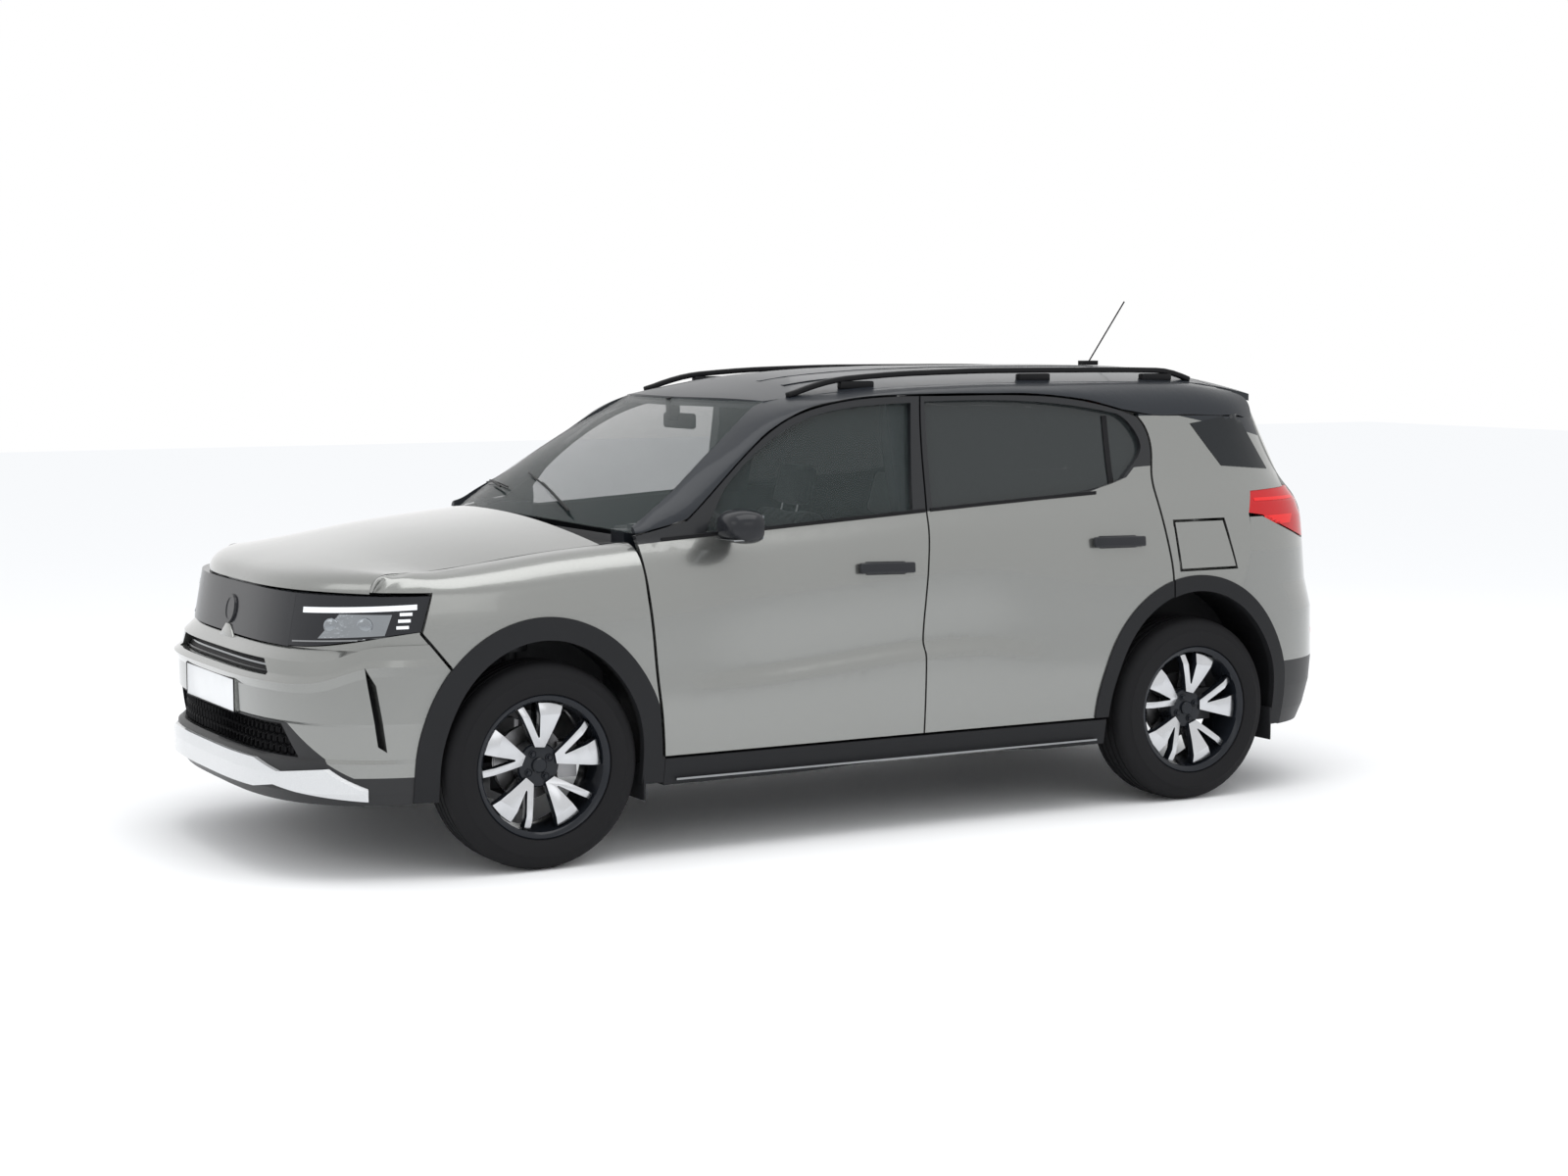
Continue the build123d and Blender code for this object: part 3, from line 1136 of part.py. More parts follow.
# ---- Wheels ----------------------------------------------------------------
def tyre(x, side):
    """Hollow tyre lying on its wheel."""
    half = TYRE_WIDTH / 2
    tread = TYRE_RADIUS
    section = make_face(Wire([
        Line((RIM_RADIUS + SEAT, -half + 13), (RIM_RADIUS + 11, -half + 13)).edge(),
        Line((RIM_RADIUS + 11, -half + 13), (RIM_RADIUS + 12, -half + 4)).edge(),
        Spline((RIM_RADIUS + 12, -half + 4), (RIM_RADIUS + 60, -half), (tread - 28, -half + 8),
               (tread - 4, -half + 34)).edge(),
        Spline((tread - 4, -half + 34), (tread, 0), (tread - 4, half - 34)).edge(),
        Spline((tread - 4, half - 34), (tread - 28, half - 8), (RIM_RADIUS + 60, half),
               (RIM_RADIUS + 12, half - 4)).edge(),
        Line((RIM_RADIUS + 12, half - 4), (RIM_RADIUS + 11, half - 13)).edge(),
        Line((RIM_RADIUS + 11, half - 13), (RIM_RADIUS + SEAT, half - 13)).edge(),
        Line((RIM_RADIUS + SEAT, half - 13), (RIM_RADIUS + SEAT, half - 30)).edge(),
        Line((RIM_RADIUS + SEAT, half - 30), (RIM_RADIUS + 70, half - 16)).edge(),
        Line((RIM_RADIUS + 70, half - 16), (tread - 16, half - 34)).edge(),
        Line((tread - 16, half - 34), (tread - 14, 0)).edge(),
        Line((tread - 14, 0), (tread - 16, -half + 34)).edge(),
        Line((tread - 16, -half + 34), (RIM_RADIUS + 70, -half + 16)).edge(),
        Line((RIM_RADIUS + 70, -half + 16), (RIM_RADIUS + SEAT, -half + 30)).edge(),
        Line((RIM_RADIUS + SEAT, -half + 30), (RIM_RADIUS + SEAT, -half + 13)).edge(),
    ]))
    ring = revolve(section, Axis.Y)
    return Pos(x, side * WHEEL_Y, TYRE_RADIUS) * ring


SPOKES = 5


def rim(x, side):
    """Alloy wheel with paired spokes, hub, and the brake disc bolted behind it."""
    half = TYRE_WIDTH / 2 - 12
    barrel = make_face(Wire(Polyline(
        (RIM_RADIUS, -half), (RIM_RADIUS + 10, -half), (RIM_RADIUS + 10, -half - 6),
        (RIM_RADIUS - 10, -half - 6), (RIM_RADIUS - 12, -half + 20), (RIM_RADIUS - 22, 0),
        (RIM_RADIUS - 12, half - 20), (RIM_RADIUS - 10, half + 6), (RIM_RADIUS + 10, half + 6),
        (RIM_RADIUS + 10, half), (RIM_RADIUS, half), (RIM_RADIUS, half - 24),
        (RIM_RADIUS - 14, 0), (RIM_RADIUS, -half + 24), close=True).edges()))
    wheel = revolve(barrel, Axis.Y)
    face = revolve(make_face(Wire(Polyline(
        (0, 66), (60, 66), (RIM_RADIUS - 9, 92), (RIM_RADIUS - 9, 74), (70, 44), (70, -20),
        (0, -20), close=True).edges())), Axis.Y)
    window = make_face(Wire(Polyline((84, 0, -14), (RIM_RADIUS - 24, 0, -52),
                                     (RIM_RADIUS - 24, 0, 52), (84, 0, 14), close=True).edges()))
    for i in range(SPOKES):
        face -= Rot(0, 360 / SPOKES * i, 0) * extrude(window, 150, dir=(0, 1, 0))
    wheel += face
    wheel += rod((0, -DISC_BACK, 0), (0, -20, 0), 68)
    wheel += rod((0, -DISC_BACK, 0), (0, -DISC_FRONT, 0), DISC_R)
    wheel -= rod((0, -60, 0), (0, 28, 0), AXLE_R + PIN_CLEARANCE)
    if side < 0:
        wheel = mirror(wheel, about=Plane.XZ)
    return Pos(x, side * WHEEL_Y, TYRE_RADIUS) * wheel


# ---- Cabin -----------------------------------------------------------------
SEAT_Y = 360.0
STEER_CENTRE = (395.0, SEAT_Y, 965.0)
STEER_TILT = 24.0


def steering_wheel():
    wheel = Torus(178, 15)
    wheel += Cylinder(58, 34)
    for turn in (0, 180, 270):
        wheel += Rot(0, 0, turn) * Pos(110, 0, 0) * Box(130, 34, 16)
    wheel -= Pos(0, 0, -30) * Cylinder(12 + PIN_CLEARANCE, 50)
    return Pos(*STEER_CENTRE) * Rot(0, STEER_TILT - 90, 0) * wheel


def dashboard():
    body = extrude(outline([(600, 0, 985), (760, 0, 1040), (850, 0, 1030)],
                           [(850, 0, 1030), (DOOR_FRONT - 26, 0, 990)],
                           [(DOOR_FRONT - 26, 0, 990), (DOOR_FRONT - 26, 0, 700)],
                           [(DOOR_FRONT - 26, 0, 700), (680, 0, 700)],
                           [(680, 0, 700), (600, 0, 860)],
                           [(600, 0, 860), (600, 0, 985)]), 1180, dir=(0, 1, 0))
    dash = Pos(0, -590, 0) * body
    dash += box((-150, 680), (-105, 105), (390 + SEAT, 560))
    dash += box((560, 680), (-120, 120), (390 + SEAT, 860))
    axis = Vector(sin(radians(90 - STEER_TILT)), 0, -cos(radians(90 - STEER_TILT)))
    centre = Vector(*STEER_CENTRE)
    column = rod(tuple(centre + axis * 8), tuple(centre + axis * 330), 12)
    shroud = rod(tuple(centre + axis * 60), tuple(centre + axis * 330), 48)
    return dash + column + shroud


def front_seats():
    return [s for s in solids(both(chair(60, SEAT_Y, 250)))]


def chair(x, y, half):
    cushion = Pos(x, y, 490) * Box(520, 2 * half, 150)
    base = Pos(x, y, 345) * Box(360, 2 * half - 120, 139.2)
    back = Pos(x - 290, y, 790) * Rot(0, -16, 0) * Box(130, 2 * half - 20, 620)
    head = Pos(x - 385, y, 1160) * Rot(0, -10, 0) * Box(95, 250, 170)
    posts = Pos(x - 372, y, 1060) * Box(20, 120, 120)
    return fillet(cushion.edges(), 30) + fillet(back.edges(), 30) + base + head + posts


def rear_bench():
    cushion = Pos(-745, 0, 558) * Box(470, 1240, 124)
    base = box((-900, -540), (131, 540), (275 + SEAT, 520))
    base += mirror(base, about=Plane.XZ)
    back = Pos(-1045, 0, 820) * Rot(0, -18, 0) * Box(120, 1240, 620)
    bench = fillet(cushion.edges(), 30) + fillet(back.edges(), 30) + base
    for y in (-400, 0, 400):
        bench += Pos(-1150, y, 1140) * Rot(0, -14, 0) * Box(90, 240, 130)
        bench += Pos(-1135, y, 1080) * Box(30, 100, 90)
    return bench


def engine_block():
    half = RAIL_INNER - SEAT
    return box((FRONT_AXLE - 150, FRONT_AXLE + 330), (-half, half), (460, 880))


def roof_rails():
    xs = np.linspace(-1500, 200, 8)
    y = 560
    pts = [(x, y, roof_z(x, y) + 40) for x in xs]
    rail = Spline((230, y, roof_z(230, y) + 8), *reversed(pts), (-1540, y, roof_z(-1540, y) + 8))
    section = Plane(origin=rail @ 0, z_dir=rail % 0) * Rectangle(24, 24)
    bar = sweep(section, rail)
    for x in (180, -650, -1490):
        z = roof_z(x, y)
        bar += box((x - 60, x + 60), (y - 10, y + 10), (z + 1, z + 34))
    return bar


def antenna():
    foot = Pos(-1478, 0, roof_z(-1478, 0) + 9.5) * Box(70, 40, 18)
    mast = rod((-1478, 0, roof_z(-1478, 0) + 10), (-1655, 0, ROOF_TOP + 250), 3)
    return foot + mast


def flap_outline(gap=0.0):
    return side_prism([(FLAP_FRONT + gap, FLAP_TOP + gap), (FLAP_FRONT - 223 - gap, FLAP_TOP + gap)],
                      [(FLAP_FRONT - 223 - gap, FLAP_TOP + gap),
                       (FLAP_FRONT - 268 - gap, FLAP_BOTTOM - gap)],
                      [(FLAP_FRONT - 268 - gap, FLAP_BOTTOM - gap),
                       (FLAP_FRONT - 14 + gap, FLAP_BOTTOM - gap)],
                      [(FLAP_FRONT - 14 + gap, FLAP_BOTTOM - gap),
                       (FLAP_FRONT + gap, FLAP_TOP + gap)])


def fuel_flap():
    flap = side_slab(-1560, -1240, 750, 1040, 8, 6) & flap_outline()
    x, y, z = FLAP_AXIS_X, FLAP_AXIS_Y, (FLAP_TOP + FLAP_BOTTOM) / 2
    lug = box((x - 7, x + 9), (y, y + 16), (z - 10, z + 10)) + rod((x, y, z - 10), (x, y, z + 10), 8)
    return flap + lug - rod((x, y, z - 20), (x, y, z + 20), 4 + PIN_CLEARANCE)


# ---- Write the pieces ------------------------------------------------------
side = body_side()
save("body_side_left", left_flank(side))
save("body_side_right", [mirror(piece, about=Plane.XZ) for piece in side])
roof = roof_panel()
save("roof_panel", roof)
save("roof_rails", both(roof_rails() - roof))
save("antenna", antenna() - roof)
screen = windscreen() & box((0, 2000), (-758, 758), (900, 1700))
save("windscreen", screen - side[1] - mirror(side[1], about=Plane.XZ) - roof)
save_pair("front_fender", front_fender())
save("bonnet", bonnet())
bumper = front_bumper()
save("front_bumper", bumper)
save("grille_panel", grille_panel())
save("headlamps", headlamps())
save("lower_grille", [piece - bumper for piece in lower_grille()])
save("skid_plate", skid_plate())
save("rear_bumper", rear_bumper())
save("tail_lamps", tail_lamps())
gate = tailgate()
save("tailgate", gate)
save("tailgate_glass", tailgate_glass() - gate - roof_block(SPOILER_WALL + SEAT))
save("tailgate_spoiler", spoiler())
save("cowl_panel", cowl_panel())
door = front_door()
save_pair("front_door", door)
save_pair("door_mirror", door_mirror() - door)
save_pair("rear_door", rear_door())
save_pair("rear_door_cladding", rear_door_cladding())
save_pair("front_door_glass", door_glass(window_line(-10), DOOR_SPLIT - 90, 760))
save_pair("rear_door_glass", door_glass(rear_window_line(-10), -1230, DOOR_SPLIT - 20))
save("hinge_arms", hinges())
save("cladding", cladding())
save("wheel_arch_liners", liners())
save("floor_pan", floor_pan() - bumper)
save("front_subframe", front_subframe())
save("front_struts", struts())
save_pair("knuckle", knuckle())
save("rear_axle", rear_axle())
save("exhaust", exhaust())
for end, x in (("front", FRONT_AXLE), ("rear", REAR_AXLE)):
    for name, hand in (("left", 1), ("right", -1)):
        save(f"tyre_{end}_{name}", tyre(x, hand))
        save(f"rim_{end}_{name}", rim(x, hand))
save("steering_wheel", steering_wheel())
save("dashboard", dashboard())
save("front_seats", front_seats())
save("rear_bench", rear_bench())
save("engine_block", engine_block())
save("fuel_flap", fuel_flap())
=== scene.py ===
import json
import math
from contextlib import contextmanager
import bmesh
import bpy
from mathutils import Matrix, Vector
from mathutils.bvhtree import BVHTree


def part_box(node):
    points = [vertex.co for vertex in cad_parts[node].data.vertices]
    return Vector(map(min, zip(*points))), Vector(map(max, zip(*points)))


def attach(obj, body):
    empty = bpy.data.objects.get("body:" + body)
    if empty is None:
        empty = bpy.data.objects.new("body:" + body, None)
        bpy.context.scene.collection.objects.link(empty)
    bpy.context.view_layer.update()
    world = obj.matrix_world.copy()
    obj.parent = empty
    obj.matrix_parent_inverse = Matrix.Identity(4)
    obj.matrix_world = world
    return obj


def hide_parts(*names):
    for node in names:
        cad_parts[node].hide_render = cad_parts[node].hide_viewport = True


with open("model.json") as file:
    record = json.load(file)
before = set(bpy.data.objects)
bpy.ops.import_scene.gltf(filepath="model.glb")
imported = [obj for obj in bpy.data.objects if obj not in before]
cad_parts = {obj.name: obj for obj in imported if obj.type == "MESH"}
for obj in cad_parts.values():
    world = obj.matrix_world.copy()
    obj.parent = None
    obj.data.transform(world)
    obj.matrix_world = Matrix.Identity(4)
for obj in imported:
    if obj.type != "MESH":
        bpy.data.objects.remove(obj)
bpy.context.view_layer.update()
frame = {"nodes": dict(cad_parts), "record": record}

NODES = frame["nodes"]
SCENE = bpy.context.scene

# ---- Where things are, read from the frame ---------------------------------
FRONT_LOW, FRONT_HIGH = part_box("tyre_front_left")
REAR_LOW, REAR_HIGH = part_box("tyre_rear_left")
FRONT_AXLE = (FRONT_LOW.x + FRONT_HIGH.x) / 2
REAR_AXLE = (REAR_LOW.x + REAR_HIGH.x) / 2
TYRE_RADIUS = (FRONT_HIGH.x - FRONT_LOW.x) / 2
WHEEL_Y = (FRONT_LOW.y + FRONT_HIGH.y) / 2
TYRE_WIDTH = FRONT_HIGH.y - FRONT_LOW.y
RIM_LOW, RIM_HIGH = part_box("rim_front_left")
RIM_RADIUS = (RIM_HIGH.x - RIM_LOW.x) / 2
RIM_HALF = (RIM_HIGH.y - RIM_LOW.y) / 2
HANDS = (("left", 1), ("right", -1))
ENDS = {"front": (1.2, 1), "rear": (-1.2, -1)}    # X its panels wrap round, and its way out
SCREEN_OUT = Vector((0.5, 0, 0.86))    # roughly square to the windscreen
MIRROR = Matrix.Scale(-1, 4, (0, 1, 0))
EDGE_ANGLE = math.radians(50)    # a bevel leaves gentler edges as they are
CORE = 0.0005    # radius left open along a lathed solid's axis


# ---- Finishes --------------------------------------------------------------
class Sum:
    """A shader socket that can be used in sums."""

    def __init__(self, finish, socket):
        self.finish, self.socket = finish, socket

    def maths(self, operation, *values):
        return self.finish.node("Math", {"operation": operation}, *values)

    def __add__(self, other):
        return self.maths("ADD", self, other)

    def __radd__(self, other):
        return self.maths("ADD", other, self)

    def __sub__(self, other):
        return self.maths("SUBTRACT", self, other)

    def __rsub__(self, other):
        return self.maths("SUBTRACT", other, self)

    def __mul__(self, other):
        return self.maths("MULTIPLY", self, other)

    def __rmul__(self, other):
        return self.maths("MULTIPLY", other, self)

    def __gt__(self, other):
        return self.maths("GREATER_THAN", self, other)

    def __lt__(self, other):
        return self.maths("LESS_THAN", self, other)

    def __abs__(self):
        return self.maths("ABSOLUTE", self)

    def most(self, other):
        return self.maths("MAXIMUM", self, other)

    def least(self, other):
        return self.maths("MINIMUM", self, other)


class Finish:
    """A material made from sums of its sockets."""

    def __init__(self, name, colour, rough=0.5, metal=0.0, **fixed):
        self.material = bpy.data.materials.new(name)
        self.material.use_nodes = True
        self.tree = self.material.node_tree
        self.shader = self.tree.nodes["Principled BSDF"]
        self.put(**{"Base Color": (*colour, 1.0), "Roughness": rough, "Metallic": metal, **fixed})
        self.material.diffuse_color = (*colour, 1.0)

    def put(self, **sockets):
        for name, value in sockets.items():
            self.feed(self.shader.inputs[name.replace("_", " ")], value)

    def feed(self, socket, value):
        if isinstance(value, Sum):
            self.tree.links.new(value.socket, socket)
        else:
            socket.default_value = value

    def node(self, kind, settings=None, *values, out=0, **named):
        """Any node: its type and settings, then the values or links of its sockets."""
        made = self.tree.nodes.new("ShaderNode" + kind)
        for name, value in (settings or {}).items():
            if name == "stops":
                ramp = made.color_ramp.elements
                while len(ramp) < len(value):
                    ramp.new(0.5)
                for stop, (at, shade) in zip(ramp, value):
                    stop.position = at
                    stop.color = (shade, shade, shade, 1.0)
            else:
                setattr(made, name, value)
        for index, value in enumerate(values):
            self.feed(made.inputs[index], value)
        for name, value in named.items():
            self.feed(made.inputs[name.replace("_", " ")], value)
        return Sum(self, made.outputs[out])

    def place(self, scale=None):
        """The piece's own coordinates, stretched if asked."""
        where = self.node("TexCoord", out=3)
        return self.node("Mapping", None, Vector=where, Scale=(scale,) * 3) if scale else where

    def xyz(self):
        split = self.tree.nodes.new("ShaderNodeSeparateXYZ")
        self.feed(split.inputs[0], self.place())
        return [Sum(self, socket) for socket in split.outputs]

    def noise(self, size, detail=2.0):
        """Noise between 0 and 1, with features about a size in metres."""
        return self.node("TexNoise", None, Vector=self.place(1 / size), Scale=1.0, Detail=detail,
                         Roughness=0.5)

    def cells(self, size, feature="DISTANCE_TO_EDGE"):
        """Cells about a size in metres across."""
        return self.node("TexVoronoi", {"feature": feature}, Vector=self.place(1 / size), Scale=1.0)

    def mix(self, share, first, second):
        """Colour between two colours."""
        made = self.tree.nodes.new("ShaderNodeMix")
        made.data_type = "RGBA"
        for index, value in ((0, share), (6, first), (7, second)):
            self.feed(made.inputs[index], (*value, 1.0) if isinstance(value, tuple) else value)
        return Sum(self, made.outputs[2])

    def bump(self, height, distance):
        self.put(Normal=self.node("Bump", None, Height=height, Distance=distance, Strength=1.0))


def tint(colour, by, more=0.0):
    """A colour made lighter or darker."""
    return tuple(c * by + more for c in colour)


def metallic_paint(name, colour, rough, dark=None, mask=None, metal=0.75, coat=1.0):
    """Clear-coated metallic paint with flakes and a faint orange peel; a mask shows dark trim."""
    paint = Finish(name, colour, rough, metal, Coat_Weight=coat, Coat_Roughness=0.03,
                   Specular_IOR_Level=0.3)
    flakes = paint.cells(0.0016, "F1")
    flecks = paint.node("ValToRGB", {"stops": ((0.1, 0.86), (0.8, 1.08))}, flakes)
    drift = paint.noise(0.9, 1.0) * 0.06 + 0.97
    shade = paint.node("Mix", {"data_type": "RGBA", "blend_type": "MULTIPLY"}, 1.0, out=2)
    made = shade.socket.node
    paint.feed(made.inputs[6], (*colour, 1.0))
    paint.feed(made.inputs[7], flecks)
    tone = paint.node("HueSaturation", None, Value=drift, Color=shade)
    if mask is None:
        paint.put(Base_Color=tone, Roughness=rough + (paint.noise(0.004) - 0.5) * 0.05)
    else:
        share = mask(*paint.xyz())
        paint.put(Base_Color=paint.mix(share, tone, dark[0]),
                  Roughness=rough + share * (dark[1] - rough),
                  Metallic=metal - share * (metal - dark[2]),
                  Coat_Weight=coat - share * (coat - 0.2))
    paint.bump(paint.noise(0.012, 1.0), 0.00003)
    return paint.material


def grained_plastic(name, colour, rough, grain=0.0018, depth=0.00015):
    """Moulded plastic with a leather-like grain."""
    plastic = Finish(name, colour, rough, 0.0, Specular_IOR_Level=0.15)
    pattern = plastic.cells(grain)
    wear = plastic.noise(0.25, 3.0)
    plastic.put(Base_Color=plastic.mix(wear * 0.5, colour, tint(colour, 1.4, 0.003)),
                Roughness=wear * 0.14 + (rough - 0.07))
    plastic.bump(pattern, depth)
    return plastic.material


def glossy_plastic(name, colour, rough=0.08):
    gloss = Finish(name, colour, rough, 0.0, Coat_Weight=0.08, Coat_Roughness=0.04,
                   Specular_IOR_Level=0.22)
    haze = gloss.noise(0.08, 3.0)
    gloss.put(Roughness=haze * 0.06 + rough,
              Base_Color=gloss.mix(haze * 0.4, colour, tint(colour, 1.25, 0.004)))
    return gloss.material


def cast_metal(name, colour, rough, metal=1.0, grain=0.002, depth=0.0001):
    cast = Finish(name, colour, rough, metal)
    patches = cast.noise(0.06, 4.0)
    cast.put(Base_Color=cast.mix(patches * 0.5, colour, tint(colour, 0.6)),
             Roughness=patches * 0.2 + (rough - 0.1))
    cast.bump(cast.noise(grain, 2.0), depth)
    return cast.material


def glass(name, tint, clear):
    """Car glass: a tinted, see-through pane with a faint haze."""
    pane = Finish(name, tint, 0.02, 0.0, IOR=1.5, Specular_IOR_Level=0.5)
    haze = pane.noise(0.3, 2.0)
    pane.put(Alpha=haze * 0.03 + (1 - clear), Roughness=haze * 0.02 + 0.01)
    return pane.material


def woven_cloth(name, colour):
    """Seat cloth: a fine two-way weave with tufts."""
    cloth = Finish(name, colour, 0.9, 0.0, Sheen_Weight=0.25)
    warp, weft = (cloth.node("TexWave", {"wave_type": "BANDS", "bands_direction": way},
                             Vector=cloth.place(), Scale=260.0, Distortion=1.0) for way in "YZ")
    weave = warp * weft
    tuft = cloth.noise(0.05, 3.0)
    cloth.put(Base_Color=cloth.mix(weave * 0.6 + tuft * 0.2, tint(colour, 0.7),
                                   tint(colour, 1.6, 0.01)))
    cloth.bump(weave, 0.0004)
    return cloth.material


SILVER = (0.245, 0.250, 0.240)
SLATE = (0.011, 0.014, 0.019)
INK = (0.012, 0.013, 0.015)
DARK_PLASTIC = (0.014, 0.0145, 0.016)
LOW_BAND = (DARK_PLASTIC, 0.5, 0.0)    # colour, roughness and metal of a bumper's dark part


def door_frame_mask(x, y, z):
    """1 above the belt line and on the trim inside, where the doors are dark."""
    belt = (1.114 - 0.062 * x).most(0.926 - 0.275 * x).most(0.311 - 0.845 * x)
    return (z > belt).most(abs(y) < 0.785)


def roof_side_mask(x, y, z):
    """1 on the windscreen pillar and roof side, and on what the doors cover."""
    rear = z > 1.447 - (-1.35 - x).most(0.0) * 0.2
    front = (x > -1.172) * (z > 1.0)
    return rear.most(front)


def nose_mask(x, y, z):
    """1 on the front bumper's dark lower band."""
    edge = (0.343 + 0.83 * (0.769 - abs(y))).most(0.343).least(0.512)
    return z < edge


def tail_mask(x, y, z):
    """1 on the rear bumper's dark lower part."""
    return z < 0.5


def paint_finish(name, mask=None, dark=(INK, 0.25, 0.0)):
    return metallic_paint(name, SILVER, 0.26, dark, mask)


FINISHES = {
    "silver": paint_finish("silver_paint"),
    "doors": paint_finish("door_paint", door_frame_mask),
    "flank": paint_finish("flank_paint", roof_side_mask, (SLATE, 0.42, 0.1)),
    "nose": paint_finish("nose_paint", nose_mask, LOW_BAND),
    "tail": paint_finish("tail_paint", tail_mask, LOW_BAND),
    "slate": metallic_paint("slate_paint", SLATE, 0.42, metal=0.1, coat=0.2),
    "cladding": grained_plastic("cladding_plastic", DARK_PLASTIC, 0.55),
    "trim": grained_plastic("black_trim", (0.007, 0.007, 0.008), 0.5),
    "visor": glossy_plastic("visor_gloss", (0.016, 0.017, 0.020), 0.14),
    "skid": metallic_paint("skid_satin", (0.62, 0.63, 0.64), 0.35, metal=0.2),
    "red": glossy_plastic("red_lens", (0.45, 0.012, 0.015)),
    "steel": cast_metal("painted_steel", (0.06, 0.062, 0.066), 0.5, 0.6),
    "iron": cast_metal("brake_iron", (0.32, 0.32, 0.33), 0.35),
    "bright": cast_metal("machined_alloy", (0.62, 0.63, 0.65), 0.22, 1.0, 0.0008, 0.00002),
    "pocket": glossy_plastic("wheel_black", (0.010, 0.012, 0.016), 0.15),
    "rubber": grained_plastic("tyre_rubber", (0.010, 0.010, 0.011), 0.75, 0.003, 0.0002),
    "clear": glass("clear_glass", (0.05, 0.065, 0.065), 0.74),
    "dark_glass": glass("privacy_glass", (0.022, 0.027, 0.028), 0.16),
    "cloth": woven_cloth("seat_cloth", (0.05, 0.05, 0.055)),
    "dash": grained_plastic("dash_plastic", (0.035, 0.036, 0.038), 0.6),
    "light": glossy_plastic("white_light_guide", (0.86, 0.88, 0.9), 0.25),
    "mirrored": cast_metal("lamp_reflector", (0.30, 0.32, 0.34), 0.12, 1.0, 0.012, 0.0012),
    "chrome": cast_metal("dark_chrome", (0.30, 0.31, 0.32), 0.18),
    "plate": glossy_plastic("plate_white", (0.78, 0.79, 0.80), 0.35),
    "wrap_glass": glossy_plastic("wrap_glass", (0.010, 0.012, 0.014), 0.06),
    "red_bright": glossy_plastic("bright_red_lens", (0.70, 0.02, 0.02), 0.15),
}


def both(*stems):
    """Names of the left and right nodes of each stem."""
    return [f"{stem}_{hand}" for stem in stems for hand, _ in HANDS]


CAD_FINISH = {
    "silver": both("front_fender") + ["bonnet", "tailgate", "fuel_flap"],
    "doors": both("front_door", "rear_door"),
    "flank": both("body_side"),
    "nose": ["front_bumper"],
    "tail": ["rear_bumper"],
    "slate": ["roof_panel", "tailgate_spoiler"],
    "cladding": ["cladding"] + both("rear_door_cladding"),
    "trim": ["lower_grille", "wheel_arch_liners", "cowl_panel", "roof_rails", "antenna"],
    "visor": ["grille_panel", "headlamps"] + both("door_mirror"),
    "skid": ["skid_plate"],
    "red": ["tail_lamps"],
    "steel": ["hinge_arms", "floor_pan", "front_subframe", "front_struts", "rear_axle", "exhaust",
              "engine_block"],
    "iron": both("knuckle"),
    "bright": both("rim_front", "rim_rear"),
    "rubber": both("tyre_front", "tyre_rear"),
    "clear": ["windscreen"] + both("front_door_glass"),
    "dark_glass": ["tailgate_glass"] + both("rear_door_glass"),
    "cloth": ["front_seats", "rear_bench"],
    "dash": ["dashboard", "steering_wheel"],
}
for key, names in CAD_FINISH.items():
    for name in names:
        shape = NODES[name].data
        shape.materials.clear()
        shape.materials.append(FINISHES[key])


# ---- Modelling steps -------------------------------------------------------
def fresh():
    """Leave edit mode and let go of everything."""
    if bpy.context.object and bpy.context.object.mode != "OBJECT":
        bpy.ops.object.mode_set(mode="OBJECT")
    bpy.ops.object.select_all(action="DESELECT")


def take(piece):
    """Select one piece alone and make it the active one."""
    fresh()
    piece.select_set(True)
    bpy.context.view_layer.objects.active = piece


@contextmanager
def editing(piece):
    """Edit mode on one piece, with the whole of it selected."""
    take(piece)
    bpy.ops.object.mode_set(mode="EDIT")
    bpy.ops.mesh.select_all(action="SELECT")
    yield
    bpy.ops.object.mode_set(mode="OBJECT")


def added(name):
    """The object just added, under its name."""
    piece = bpy.context.object
    piece.name = name
    return piece


def outward(piece):
    """Turn the faces of a closed piece outwards."""
    with editing(piece):
        bpy.ops.mesh.normals_make_consistent(inside=False)
    return piece


def cut(piece, spot, normal, **settings):
    """Cut the faces along a plane."""
    with editing(piece):
        bpy.ops.mesh.bisect(plane_co=spot, plane_no=normal, **settings)


def chain(name, points, filled=False):
    """A line of vertices drawn out from point to point, with a face across it if asked."""
    fresh()
    bpy.ops.mesh.primitive_plane_add(size=0.001, location=(0, 0, 0))
    piece = added(name)
    with editing(piece):
        bpy.ops.mesh.merge(type="CENTER")
        bpy.ops.transform.translate(value=points[0])
        for before, after in zip(points, points[1:]):
            step = tuple(b - a for a, b in zip(before, after))
            bpy.ops.mesh.extrude_vertices_move(TRANSFORM_OT_translate={"value": step})
        if filled:
            bpy.ops.mesh.select_all(action="SELECT")
            bpy.ops.mesh.edge_face_add()
    return piece


def push(piece, step):
    """Extrude the whole of a flat piece and close it into a solid."""
    with editing(piece):
        bpy.ops.mesh.extrude_region_move(TRANSFORM_OT_translate={"value": step})
    return outward(piece)


def lathe(name, profile, steps=96):
    """Closed profile of (radius, y) points spun round the Y axis."""
    points = [(r, y, 0) for r, y in profile]
    piece = chain(name, points + points[:1])
    with editing(piece):
        bpy.ops.mesh.spin(steps=steps, angle=math.tau, center=(0, 0, 0), axis=(0, 1, 0))
        bpy.ops.mesh.select_all(action="SELECT")
        bpy.ops.mesh.remove_doubles(threshold=0.00005)
    return outward(piece)


